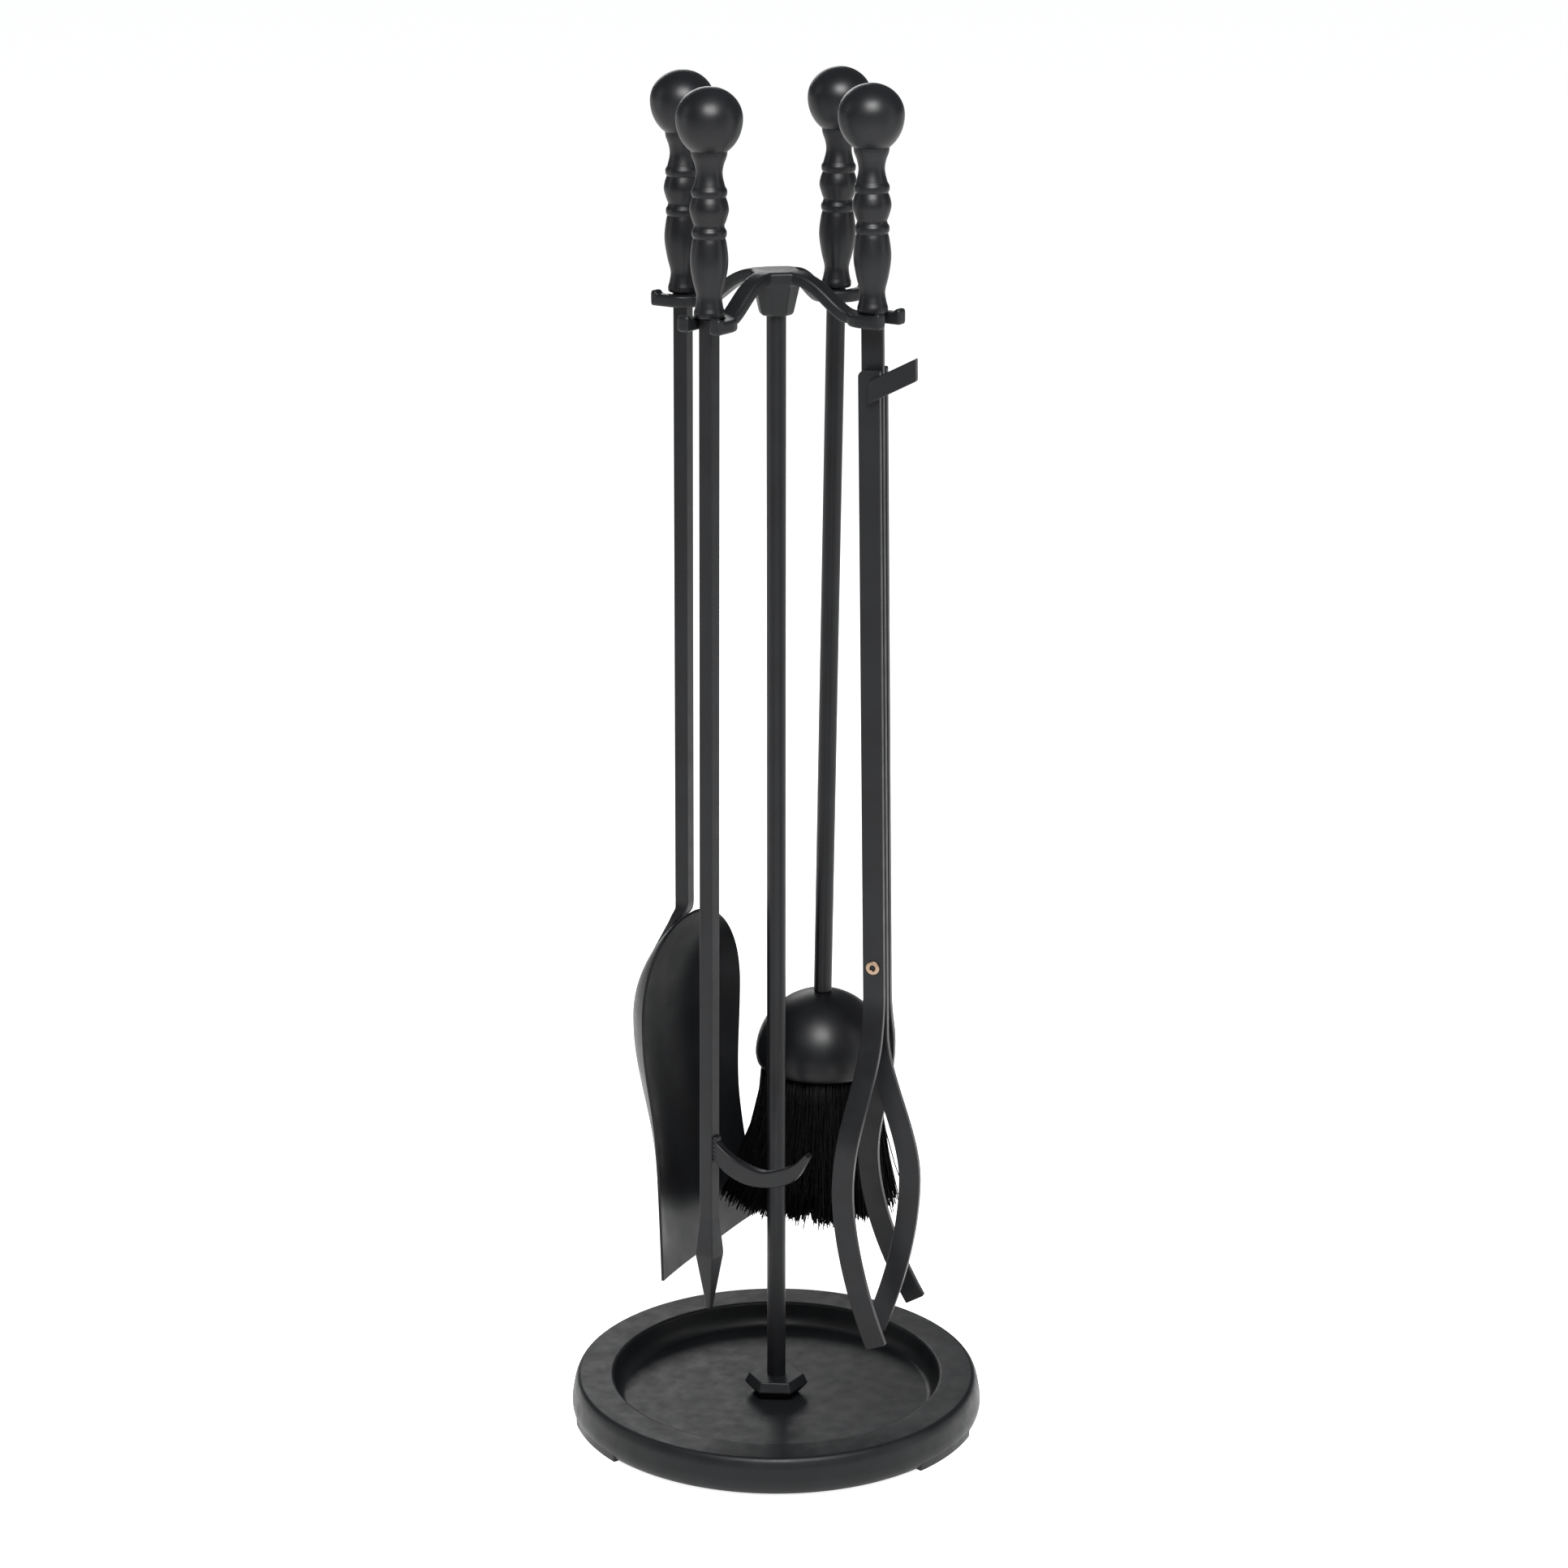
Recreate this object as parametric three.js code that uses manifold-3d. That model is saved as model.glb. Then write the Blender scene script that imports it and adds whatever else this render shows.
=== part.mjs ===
// Fireplace tool set: a shovel, a poker, a brush and claw tongs on a hanging stand.
// Millimetres, +Z up. The origin is under the middle of the base, on the floor.
// The hanger arms lie along the axes: tongs +X, brush +Y, shovel -X, poker -Y.

import * as THREE from 'three';
import { mergeVertices } from 'three/addons/utils/BufferGeometryUtils.js';
import Module from 'manifold-3d';

const wasm = await Module();
wasm.setup();

// ---- driving dimensions -------------------------------------------------------------------

const JOINT_GAP = 0.3; // paint and play left between two pieces that meet

// Base casting
const BASE_RADIUS = 114;
const BASE_HEIGHT = 21.5;
const BASE_SIDES = 54;
const RIM_EDGE_ROUND = 3; // rounding of the rim's outer top edge
const SKIRT_LEAN = 1.6; // the skirt narrows this much on its way up to that rounding
const RIM_WIDTH = 21;
const RIM_FALL = 0.6; // the rim falls this much towards the dish
const DISH_DEPTH = 13.5; // below the rim's top
const DISH_WALL_RUN = 3.5; // how far the dish wall leans in on its way down
const FLOOR_THICKNESS = 3;
const SKIRT_THICKNESS = 6.5;
const FOOT_HEIGHT = 1.8;
const FOOT_COUNT = 3; // the first under the tongs
const FOOT_ARC = 26; // degrees
const FOOT_INSET = 0.2; // behind the skirt's widest line

// Collar round the foot of the post, six-sided
const COLLAR_HEIGHT = 11;
const COLLAR_WIDEST = 35.5; // across corners
const COLLAR_TOP = 30.5;
const COLLAR_FOOT = 25;
const COLLAR_WIDEST_AT = 5.8; // above the dish floor

// Post and its bolt
const POST_DIAMETER = 10.2;
const POST_IN_HUB = 10; // how far the post enters the hanger's hub
const BOLT_DIAMETER = 6;
const BOLT_IN_POST = 16;
const BOLT_HEAD_FLATS = 10;
const BOLT_HEAD_HEIGHT = 2.8;
const WASHER_DIAMETER = 18;
const WASHER_THICKNESS = 1.2;

// Hanger casting
const HANG_RADIUS = 58.6; // post axis to each tool's axis
const HANG_Z = 621.5; // foot of the hanging handles
const REST_GAP = 0.4; // under a handle's foot, so that a leaning tool clears the fork too
const HUB_BOTTOM_Z = HANG_Z - 6.7;
const HUB_BOTTOM_FLATS = 17;
const HUB_TOP_FLATS = 23.5;
const PLATE_TOP_Z = HANG_Z + 16.6;
const PLATE_FLATS = 25;
const ARM_THICKNESS = 6.2;
const ARM_HOLD = 1.4; // above 1 the arm stays high for longer before it drops to the fork
const ARM_WIDTH = 10;
const FORK_THICKNESS = 6.4;
const SLOT_WIDTH = 13;
const PRONG_WIDTH = 6.5;
const FORK_REACH = 12; // from a tool's axis to the prong tips
const NUB_RISE = 1.8;
const NUB_LENGTH = 3.5;

// Turned handles, the same on all four tools
const KNOB_RADIUS = 16.8;
const KNOB_TOP = 114.6; // above the handle's foot
const KNOB_EQUATOR = 98.9;
const KNOB_SEAT = 82.8;
const KNOB_SEAT_RADIUS = 9.1;
const KNOB_SPIGOT_DIAMETER = 6;
const KNOB_SPIGOT_LENGTH = 8;
const TANG_DIAMETER = 6;
const TANG_LENGTH = 16;
const HANDLE_SIDES = 18;

// Square bar of the shovel and the poker
const BAR = 8;
const BAR_EDGE = 0.8; // broken edge

// Shovel
const SHOVEL_YAW = 6; // degrees that the hanging shovel is turned from facing the post
const SHOVEL_LEAN = 0.3; // degrees about +Y, like every lean below; bottom towards -X
const SHOVEL_BEND_Z = 281.5;
const CRANK_WIDTH = 13;
const CRANK_THICKNESS = 3.6;
const CRANK_TOUCH_Z = 266; // where the crank's slope meets the pan's back
const CRANK_END_Z = 254;
const PAN_TOP_Z = 278;
const PAN_LIP_Z = 85.5;
const PAN_SHEET = 1.5;
const PAN_LIP_HALF = 56;
const PAN_WAIST_HALF = 47;
const PAN_WAIST_Z = 160;
const PAN_BELLY_HALF = 54.5;
const PAN_BELLY_Z = 226;
const PAN_DEPTH = 21;
const PAN_LIP_DEPTH = 1.5;
const PAN_BELLY_FORWARD = 5.4; // the edge at the widest part, forward of the bar
const PAN_LIP_FORWARD = 17.5; // the lip stands this far forward of the bar
const PAN_CROWN_POWER = 2; // less makes the pan's top shallower
const PAN_SECTION_POWER = 3.4; // 2 is a plain arc, more is boxier

// Poker
const POKER_PLAY = 0.22; // between the resting poker's corner and the slot's bend
const POKER_LEAN = 0.33;
const SPEAR_START_Z = 134;
const SPEAR_WIDEST_Z = 112;
const SPEAR_WIDTH = 11.4;
const POKER_TIP_Z = 79;
const HOOK_REACH = 64.5; // poker axis to the hook's blunt tip
const HOOK_LOW_Z = 158;
const HOOK_DEPTH = 9.6; // of the crescent at its lowest
const HOOK_WELD_Z = 168; // foot of the weld
const HOOK_WELD_HEIGHT = 13.7;
const HOOK_THICKNESS = 5;

// Brush
const BRUSH_PLAY = 0.4; // between the resting rod and its slot's side
const BRUSH_LEAN = 1; // the head hangs towards the shovel
const BRUSH_ROD_DIAMETER = 10;
const DOME_RADIUS = 37;
const DOME_CENTRE_Z = 190;
const DOME_SHELL = 2;
const DOME_LIP = 5; // below the dome's centre
const DOME_LIP_INSET = 0.9;
const BLOCK_HEIGHT = 14;
const BRUSH_NUT_FLATS = 10;
const BRUSH_NUT_HEIGHT = 5;
const BRISTLE_LENGTH = 82;
const BRISTLE_MID_RADIUS = 36.5;
const BRISTLE_TIP_RADIUS = 40.5;

// Tongs
const TONGS_YAW = 15; // degrees that the hanging tongs are turned from radial
const TONGS_LEAN = -0.97; // the claw hangs outwards
const STRAP_WIDTH = SLOT_WIDTH - 1.5;
const STRAP_THICKNESS = 4;
const STRAP_GAP = 2; // between the handle bar and each loose strap
const STRAP_TOP_Z = HANG_Z - 28.5;
const RIVET_Z = 274;
const RIVET_DIAMETER = 5.4;
const RIVET_FLANGE = 7.5;
const RIVET_FLANGE_THICKNESS = 0.8;
const RIVET_HOLE = 2.6;
const SPACER_DIAMETER = 10.5;
const CLAW_SPREAD = 31; // the outer prongs' distance from the middle one
const CLAW_SPREAD_START_Z = 258;
const CLAW_SPREAD_END_Z = 175;
const CLAW_BOW_Z = 153; // height of the prongs' widest bow
const CLAW_BEND_Z = 236; // where the prongs start to bow
const MIDDLE_PRONG = { bow: 17.5, tip: -3, tipZ: 64 }; // sideways from the strap's line
const FRONT_PRONG = { bow: -10.5, tip: 7.5, tipZ: 67 };
const BACK_PRONG = { bow: -15.5, tip: 11, tipZ: 69.5 };
const LEVER_START = 1; // from the strap's middle line
const LEVER_REACH = 25.2;
const LEVER_RISE = 12.5;
const LEVER_HEIGHT = 11.6;
const LEVER_FOOT_Z = HANG_Z - 45;

// ---- sizes that follow --------------------------------------------------------------------

const DISH_FLOOR_Z = BASE_HEIGHT - DISH_DEPTH;
const FLOOR_UNDERSIDE_Z = DISH_FLOOR_Z - FLOOR_THICKNESS;
const FORK_TOP_Z = HANG_Z - REST_GAP;
const FORK_BOTTOM_Z = FORK_TOP_Z - FORK_THICKNESS;
const SLOT_RADIUS = SLOT_WIDTH / 2;
const FORK_RADIUS = SLOT_RADIUS + PRONG_WIDTH;
// The poker and the brush rest against one side of their slots, towards -X.
const POKER_ASIDE = BAR / 2
  - Math.sqrt((SLOT_RADIUS - POKER_PLAY) ** 2 - (BAR / 2 - BAR_EDGE) ** 2);
const BRUSH_ASIDE = BRUSH_ROD_DIAMETER / 2 + BRUSH_PLAY - SLOT_RADIUS;
const SHAFT_TOP = -JOINT_GAP; // below the handle's foot
const BLOCK_BOTTOM_Z = DOME_CENTRE_Z - DOME_LIP + 1;
const DOME_BORE = BOLT_DIAMETER + 2 * JOINT_GAP;
const OUTER_STRAP_AT = STRAP_THICKNESS + STRAP_GAP; // middle of each loose strap
const RIVET_BORE = RIVET_DIAMETER + 2 * JOINT_GAP;

// ---- finishes -----------------------------------------------------------------------------

const finish = (name, color, roughness, metalness) =>
  Object.assign(new THREE.MeshStandardMaterial({ color, roughness, metalness }), { name });
const satinBlack = finish('satin_black_paint', 0x1d1d1f, 0.48, 0.1);
const castBlack = finish('black_cast_iron', 0x1b1b1c, 0.6, 0.1);
const bristleBlack = finish('black_bristle', 0x0e0e0f, 0.75, 0);
const woodBlock = finish('turned_wood', 0x6b4a2c, 0.7, 0);
const bareSteel = finish('bare_steel', 0x8c7a6c, 0.4, 0.9);

// ---- tools for shaping --------------------------------------------------------------------

const radians = THREE.MathUtils.degToRad;
const smooth = (x, low, high) => THREE.MathUtils.smoothstep(x, low, high);

// One closed skin with shared corners, no slivers, and its faces turned outward.
function closedSkin(geometry) {
  const bare = geometry.clone();
  bare.deleteAttribute('normal');
  bare.deleteAttribute('uv');
  const skin = mergeVertices(bare, 1e-4);
  const at = skin.getAttribute('position');
  const corners = Array.from(skin.index.array);
  const kept = [];
  let volume = 0;
  const [a, b, c] = [new THREE.Vector3(), new THREE.Vector3(), new THREE.Vector3()];
  for (let i = 0; i < corners.length; i += 3) {
    const [p, q, r] = corners.slice(i, i + 3);
    if (p === q || q === r || r === p) continue;
    kept.push(p, q, r);
    a.fromBufferAttribute(at, p);
    b.fromBufferAttribute(at, q);
    c.fromBufferAttribute(at, r);
    volume += a.dot(b.cross(c));
  }
  if (volume < 0) kept.reverse();
  skin.setIndex(kept);
  return skin;
}

function solid(geometry) {
  const skin = closedSkin(geometry);
  return new wasm.Manifold(new wasm.Mesh({
    numProp: 3,
    vertProperties: new Float32Array(skin.getAttribute('position').array),
    triVerts: new Uint32Array(skin.index.array),
  }));
}

function geometryOf(body) {
  const mesh = body.getMesh();
  const geometry = new THREE.BufferGeometry();
  geometry.setAttribute('position', new THREE.BufferAttribute(mesh.vertProperties, 3));
  geometry.setIndex(new THREE.BufferAttribute(mesh.triVerts, 1));
  return geometry;
}

const joined = (...geometries) => geometryOf(geometries.map(solid).reduce((a, b) => a.add(b)));
const cut = (geometry, ...tools) =>
  geometryOf(tools.map(solid).reduce((a, b) => a.subtract(b), solid(geometry)));

// Turned about +Z. The outline is [radius, height] pairs.
function turned(outline, sides) {
  const points = outline.map(([r, z]) => new THREE.Vector2(r, z));
  return new THREE.LatheGeometry(points, sides).rotateX(Math.PI / 2);
}

// A round bar or drilled space standing on +Z from one height to another.
function round(diameter, from, to, sides = 20) {
  const bar = new THREE.CylinderGeometry(diameter / 2, diameter / 2, to - from, sides);
  return bar.rotateX(Math.PI / 2).translate(0, 0, (from + to) / 2);
}

// A flat-sided prism standing on +Z, given across its flats; one flat faces +X.
function prism(acrossFlats, sideCount, from, to) {
  const circumradius = acrossFlats / 2 / Math.cos(Math.PI / sideCount);
  const bar = new THREE.CylinderGeometry(circumradius, circumradius, to - from, sideCount);
  return bar.rotateY(Math.PI / 2 + Math.PI / sideCount).rotateX(Math.PI / 2)
    .translate(0, 0, (from + to) / 2);
}

// Skin through rings of equally many points, closed by a flat cap at each end.
function lofted(rings) {
  const count = rings[0].length;
  const positions = rings.flat().flatMap((p) => [p.x, p.y, p.z]);
  const index = [];
  for (let i = 0; i + 1 < rings.length; i += 1) {
    for (let j = 0; j < count; j += 1) {
      const a = i * count + j;
      const b = i * count + ((j + 1) % count);
      index.push(a, b, b + count, a, b + count, a + count);
    }
  }
  const last = (rings.length - 1) * count;
  for (let j = 1; j + 1 < count; j += 1) {
    index.push(0, j + 1, j);
    index.push(last, last + j, last + j + 1);
  }
  const geometry = new THREE.BufferGeometry();
  geometry.setAttribute('position', new THREE.Float32BufferAttribute(positions, 3));
  geometry.setIndex(index);
  return closedSkin(geometry);
}

// Rectangle with broken corners, as [u, v] pairs.
function bevelledRectangle(width, height, edge) {
  const [u, v] = [width / 2, height / 2];
  return [
    [u, edge - v], [u, v - edge], [u - edge, v], [edge - u, v],
    [-u, v - edge], [-u, edge - v], [edge - u, -v], [u - edge, -v],
  ];
}

// Flat-sided bar bent along a line that runs down -Z. Each station gives its middle point
// and its section; the section's first side stays along X and its second lies across the path.
function bentBar(stations) {
  const rings = stations.map((station, i) => {
    const before = stations[Math.max(i - 1, 0)].at;
    const after = stations[Math.min(i + 1, stations.length - 1)].at;
    const along = after.clone().sub(before).normalize();
    const across = new THREE.Vector3(1, 0, 0).addScaledVector(along, -along.x).normalize();
    const through = new THREE.Vector3().crossVectors(along, across);
    return station.section.map(([u, v]) =>
      station.at.clone().addScaledVector(across, u).addScaledVector(through, v));
  });
  return lofted(rings);
}

// Moves a tool, drawn hanging from the origin, to its fork: turned on its own axis, leaning
// about +Y, and pushed aside along X by the play in its slot.
function hung(geometry, { fork, yaw = 0, lean = 0, aside = 0 }) {
  const angle = radians(fork);
  return geometry.clone().rotateZ(radians(yaw)).rotateY(radians(lean))
    .translate(HANG_RADIUS * Math.cos(angle) + aside, HANG_RADIUS * Math.sin(angle), HANG_Z);
}

// ---- stand --------------------------------------------------------------------------------

// Outline of the base casting: skirt, rounded rim, dish, and the hollow underneath.
function baseOutline() {
  const rimInner = BASE_RADIUS - RIM_WIDTH - RIM_EDGE_ROUND + 0.5;
  const rimFlatOuter = BASE_RADIUS - RIM_EDGE_ROUND - 2;
  const hollowTop = BASE_HEIGHT - FLOOR_THICKNESS - 1;
  const skirtInner = BASE_RADIUS - SKIRT_THICKNESS;
  const boltHole = BOLT_DIAMETER / 2 + JOINT_GAP;
  const dishFloorEdge = rimInner - DISH_WALL_RUN;
  return [
    [boltHole, FLOOR_UNDERSIDE_Z],
    [rimInner + 1.5, FLOOR_UNDERSIDE_Z],
    [rimInner + 3.5, hollowTop],
    [skirtInner - 1, hollowTop],
    [skirtInner, FOOT_HEIGHT],
    [BASE_RADIUS - 1.4, FOOT_HEIGHT],
    [BASE_RADIUS, FOOT_HEIGHT + 3],
    [BASE_RADIUS, FOOT_HEIGHT + 6],
    [BASE_RADIUS - SKIRT_LEAN / 2, BASE_HEIGHT - RIM_EDGE_ROUND - 5.5],
    [BASE_RADIUS - SKIRT_LEAN, BASE_HEIGHT - RIM_EDGE_ROUND - 1],
    [BASE_RADIUS - RIM_EDGE_ROUND, BASE_HEIGHT - 0.8],
    [rimFlatOuter, BASE_HEIGHT],
    [rimInner + 1, BASE_HEIGHT - RIM_FALL],
    [rimInner, BASE_HEIGHT - RIM_FALL - 0.9],
    [rimInner - 1.2, DISH_FLOOR_Z + 4],
    [dishFloorEdge + 1.4, DISH_FLOOR_Z + 1],
    [dishFloorEdge - 1.5, DISH_FLOOR_Z],
    [boltHole, DISH_FLOOR_Z],
    [boltHole, FLOOR_UNDERSIDE_Z],
  ];
}

// One foot: a low pad under the skirt.
function footPad(angle) {
  const half = radians(FOOT_ARC / 2);
  const [inner, outer] = [BASE_RADIUS - SKIRT_THICKNESS - 2.5, BASE_RADIUS - FOOT_INSET];
  const pad = new THREE.Shape();
  pad.absarc(0, 0, outer, angle - half, angle + half, false);
  pad.absarc(0, 0, inner, angle + half, angle - half, true);
  return new THREE.ExtrudeGeometry(pad, {
    depth: FOOT_HEIGHT + 4, bevelEnabled: false, curveSegments: 5,
  });
}

function basePlate() {
  const feet = Array.from({ length: FOOT_COUNT }, (_, i) =>
    footPad((i * 2 * Math.PI) / FOOT_COUNT));
  return joined(turned(baseOutline(), BASE_SIDES), ...feet);
}

// Six-sided collar that the post passes through.
function baseCollar() {
  const bottom = DISH_FLOOR_Z + JOINT_GAP;
  const levels = [
    [COLLAR_FOOT, bottom],
    [COLLAR_WIDEST, DISH_FLOOR_Z + COLLAR_WIDEST_AT],
    [COLLAR_TOP, DISH_FLOOR_Z + COLLAR_HEIGHT],
  ];
  const ring = ([acrossCorners, z]) => Array.from({ length: 6 }, (_, i) => {
    const angle = ((i + 0.5) * Math.PI) / 3;
    const r = acrossCorners / 2;
    return new THREE.Vector3(r * Math.cos(angle), r * Math.sin(angle), z);
  });
  const bore = round(POST_DIAMETER + 2 * JOINT_GAP, bottom - 1, DISH_FLOOR_Z + COLLAR_HEIGHT + 1);
  return cut(lofted(levels.map(ring)), bore);
}

function post() {
  const bottom = DISH_FLOOR_Z + JOINT_GAP;
  const top = HUB_BOTTOM_Z + POST_IN_HUB;
  const thread = round(BOLT_DIAMETER + 2 * JOINT_GAP, bottom - 1, bottom + BOLT_IN_POST + 1);
  return cut(round(POST_DIAMETER, bottom, top, 24), thread);
}

const WASHER_TOP_Z = FLOOR_UNDERSIDE_Z - JOINT_GAP;
const WASHER_BOTTOM_Z = WASHER_TOP_Z - WASHER_THICKNESS;

function baseWasher() {
  const hole = round(BOLT_DIAMETER + 2 * JOINT_GAP, WASHER_BOTTOM_Z - 1, WASHER_TOP_Z + 1);
  return cut(round(WASHER_DIAMETER, WASHER_BOTTOM_Z, WASHER_TOP_Z), hole);
}

// Bolt that pulls the post down onto the base. Its head stays above the floor.
function baseBolt() {
  const headTop = WASHER_BOTTOM_Z - JOINT_GAP;
  const head = prism(BOLT_HEAD_FLATS, 6, headTop - BOLT_HEAD_HEIGHT, headTop);
  const shank = round(BOLT_DIAMETER, headTop - 1, DISH_FLOOR_Z + BOLT_IN_POST);
  return joined(head, shank);
}

// Eight-sided tapered hub under the hanger's top plate.
function hubAndPlate() {
  const corner = (flats) => flats / 2 / Math.cos(Math.PI / 8);
  const levels = [
    [corner(HUB_BOTTOM_FLATS) - 1, HUB_BOTTOM_Z],
    [corner(HUB_BOTTOM_FLATS), HUB_BOTTOM_Z + 1.2],
    [corner(HUB_TOP_FLATS), PLATE_TOP_Z - ARM_THICKNESS - 0.8],
    [corner(PLATE_FLATS), PLATE_TOP_Z - ARM_THICKNESS],
    [corner(PLATE_FLATS), PLATE_TOP_Z - 1],
    [corner(PLATE_FLATS) - 1.4, PLATE_TOP_Z],
  ];
  const rings = levels.map(([r, z]) => Array.from({ length: 8 }, (_, i) => {
    const angle = ((i + 0.5) * Math.PI) / 4;
    return new THREE.Vector3(r * Math.cos(angle), r * Math.sin(angle), z);
  }));
  return lofted(rings);
}

// One arm of the hanger: level at the plate, arching down, level again at the fork.
function hangerArm() {
  const start = PLATE_FLATS / 2 - 5;
  const end = HANG_RADIUS - SLOT_RADIUS - 2;
  const level = end - 4;
  const fall = PLATE_TOP_Z - FORK_TOP_Z;
  const dropAt = (r) => {
    const share = Math.max((r - start) / (level - start), 0) ** ARM_HOLD;
    return fall * smooth(share, 0, 1);
  };
  const steps = 9;
  const section = bevelledRectangle(ARM_WIDTH, ARM_THICKNESS, 1.2);
  const rings = Array.from({ length: steps + 1 }, (_, i) => {
    const r = start + ((end - start) * i) / steps;
    const tilt = Math.atan(dropAt(r + 0.5) - dropAt(r - 0.5));
    const z = PLATE_TOP_Z - dropAt(r) - ARM_THICKNESS / 2;
    return section.map(([across, up]) => new THREE.Vector3(
      r + up * Math.sin(tilt), across, z + up * Math.cos(tilt)));
  });
  return lofted(rings);
}

// The fork's bend, seen from above: half a ring open outwards.
function forkBend() {
  const ring = new THREE.Shape();
  ring.absarc(0, 0, FORK_RADIUS, Math.PI / 2, (3 * Math.PI) / 2, false);
  ring.lineTo(0.5, -FORK_RADIUS);
  ring.lineTo(0.5, -SLOT_RADIUS);
  ring.absarc(0, 0, SLOT_RADIUS, (3 * Math.PI) / 2, Math.PI / 2, true);
  ring.lineTo(0.5, SLOT_RADIUS);
  ring.lineTo(0.5, FORK_RADIUS);
  return new THREE.ExtrudeGeometry(ring, {
    depth: FORK_THICKNESS, bevelEnabled: false, curveSegments: 10,
  }).translate(HANG_RADIUS, 0, FORK_BOTTOM_Z);
}

// One prong, drawn from the side, with the upturned nub that keeps a tool from sliding off.
function prong(side) {
  const outline = new THREE.Shape();
  const tip = FORK_REACH;
  const nubStart = tip - NUB_LENGTH;
  outline.moveTo(0, -FORK_THICKNESS);
  outline.lineTo(tip - 2.5, -FORK_THICKNESS);
  outline.quadraticCurveTo(tip, -FORK_THICKNESS, tip, -FORK_THICKNESS + 2.5);
  outline.lineTo(tip, NUB_RISE - 1.6);
  outline.quadraticCurveTo(tip, NUB_RISE, tip - 1.6, NUB_RISE);
  outline.lineTo(nubStart + 1, NUB_RISE);
  outline.lineTo(nubStart, NUB_RISE - 1);
  outline.lineTo(nubStart, 1);
  outline.lineTo(nubStart - 1, 0);
  outline.lineTo(0, 0);
  const middle = side * (SLOT_RADIUS + PRONG_WIDTH / 2);
  return new THREE.ExtrudeGeometry(outline, {
    depth: PRONG_WIDTH, bevelEnabled: false, curveSegments: 3,
  }).rotateX(Math.PI / 2).translate(HANG_RADIUS, middle + PRONG_WIDTH / 2, FORK_TOP_Z);
}

function hanger() {
  const arm = joined(hangerArm(), forkBend(), prong(1), prong(-1));
  const arms = [0, 1, 2, 3].map((i) => arm.clone().rotateZ((i * Math.PI) / 2));
  const socket = round(POST_DIAMETER + 2 * JOINT_GAP, HUB_BOTTOM_Z - 1,
    HUB_BOTTOM_Z + POST_IN_HUB + JOINT_GAP, 24);
  return cut(joined(hubAndPlate(), ...arms), socket);
}

// ---- handles ------------------------------------------------------------------------------

// Turned grip, from its foot up: flare, waist, barrel, bead, bulb, bead, neck, seat.
function gripOutline() {
  return [
    [7.1, 0], [7.9, 0.7], [7.9, 2.2], [7.1, 5], [6.4, 9.6], [6.9, 14], [8.5, 19.5],
    [9.5, 26.5], [9.5, 31.5], [8.7, 37], [7.9, 40.3], [8.7, 42.8], [7.6, 46.4],
    [9, 49.8], [9.9, 53.6], [9.2, 57.5], [8.2, 60.7], [8.9, 63.2], [7.6, 67.4],
    [6.7, 72.4], [7.3, 76.2], [8.5, 79.4], [8.9, 81.2], [8.9, KNOB_SEAT - JOINT_GAP],
  ];
}

function grip() {
  const top = KNOB_SEAT - JOINT_GAP;
  const profile = turned([[0, 0], ...gripOutline(), [0, top]], HANDLE_SIDES);
  const tangHole = round(TANG_DIAMETER + 2 * JOINT_GAP, -1, TANG_LENGTH + JOINT_GAP, 12);
  const spigotHole = round(KNOB_SPIGOT_DIAMETER + 2 * JOINT_GAP,
    KNOB_SEAT - KNOB_SPIGOT_LENGTH - JOINT_GAP, top + 1, 12);
  return cut(profile, tangHole, spigotHole);
}

// Ball knob: a little flattened on top, longer below, on a round spigot.
function knob() {
  const rise = KNOB_TOP - KNOB_EQUATOR;
  const seatSine = Math.sqrt(1 - (KNOB_SEAT_RADIUS / KNOB_RADIUS) ** 2);
  const fall = (KNOB_EQUATOR - KNOB_SEAT) / seatSine;
  const lowest = -Math.asin(seatSine);
  const steps = 11;
  const outline = Array.from({ length: steps }, (_, i) => {
    const angle = lowest + ((Math.PI / 2 - lowest) * i) / (steps - 1);
    const height = Math.sin(angle) * (angle < 0 ? fall : rise);
    const radius = i === steps - 1 ? 0 : KNOB_RADIUS * Math.cos(angle);
    return [radius, KNOB_EQUATOR + height];
  });
  const ball = turned([[0, KNOB_SEAT], ...outline], HANDLE_SIDES);
  const spigot = round(KNOB_SPIGOT_DIAMETER, KNOB_SEAT - KNOB_SPIGOT_LENGTH, KNOB_SEAT + 2, 12);
  return joined(ball, spigot);
}

const tang = () => round(TANG_DIAMETER, SHAFT_TOP - 2, TANG_LENGTH, 12);

// ---- shovel, drawn hanging from the origin with its open side towards +X ---------------------

// Half the pan's width at a height.
function panHalfWidth(z) {
  if (z > PAN_BELLY_Z) {
    const t = (z - PAN_BELLY_Z) / (PAN_TOP_Z - PAN_BELLY_Z);
    return PAN_BELLY_HALF * Math.sqrt(Math.max(1 - t ** 2.3, 0));
  }
  if (z > PAN_WAIST_Z) {
    const swell = (1 - Math.cos((Math.PI * (z - PAN_WAIST_Z)) / (PAN_BELLY_Z - PAN_WAIST_Z))) / 2;
    return PAN_WAIST_HALF + (PAN_BELLY_HALF - PAN_WAIST_HALF) * swell;
  }
  const flare = (PAN_WAIST_Z - z) / (PAN_WAIST_Z - PAN_LIP_Z);
  return PAN_WAIST_HALF + (PAN_LIP_HALF - PAN_WAIST_HALF) * flare ** 1.5;
}

// How far the pan's edge stands forward of the bar, and how deep the pan is behind its edge.
function panEdgeForward(z) {
  const down = Math.max((PAN_BELLY_Z - z) / (PAN_BELLY_Z - PAN_LIP_Z), 0);
  const lift = (z - PAN_BELLY_Z) / (PAN_TOP_Z - PAN_BELLY_Z);
  const reach = PAN_LIP_FORWARD - PAN_BELLY_FORWARD;
  return PAN_BELLY_FORWARD + reach * down ** 1.6 - 2.5 * Math.max(lift, 0);
}

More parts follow.
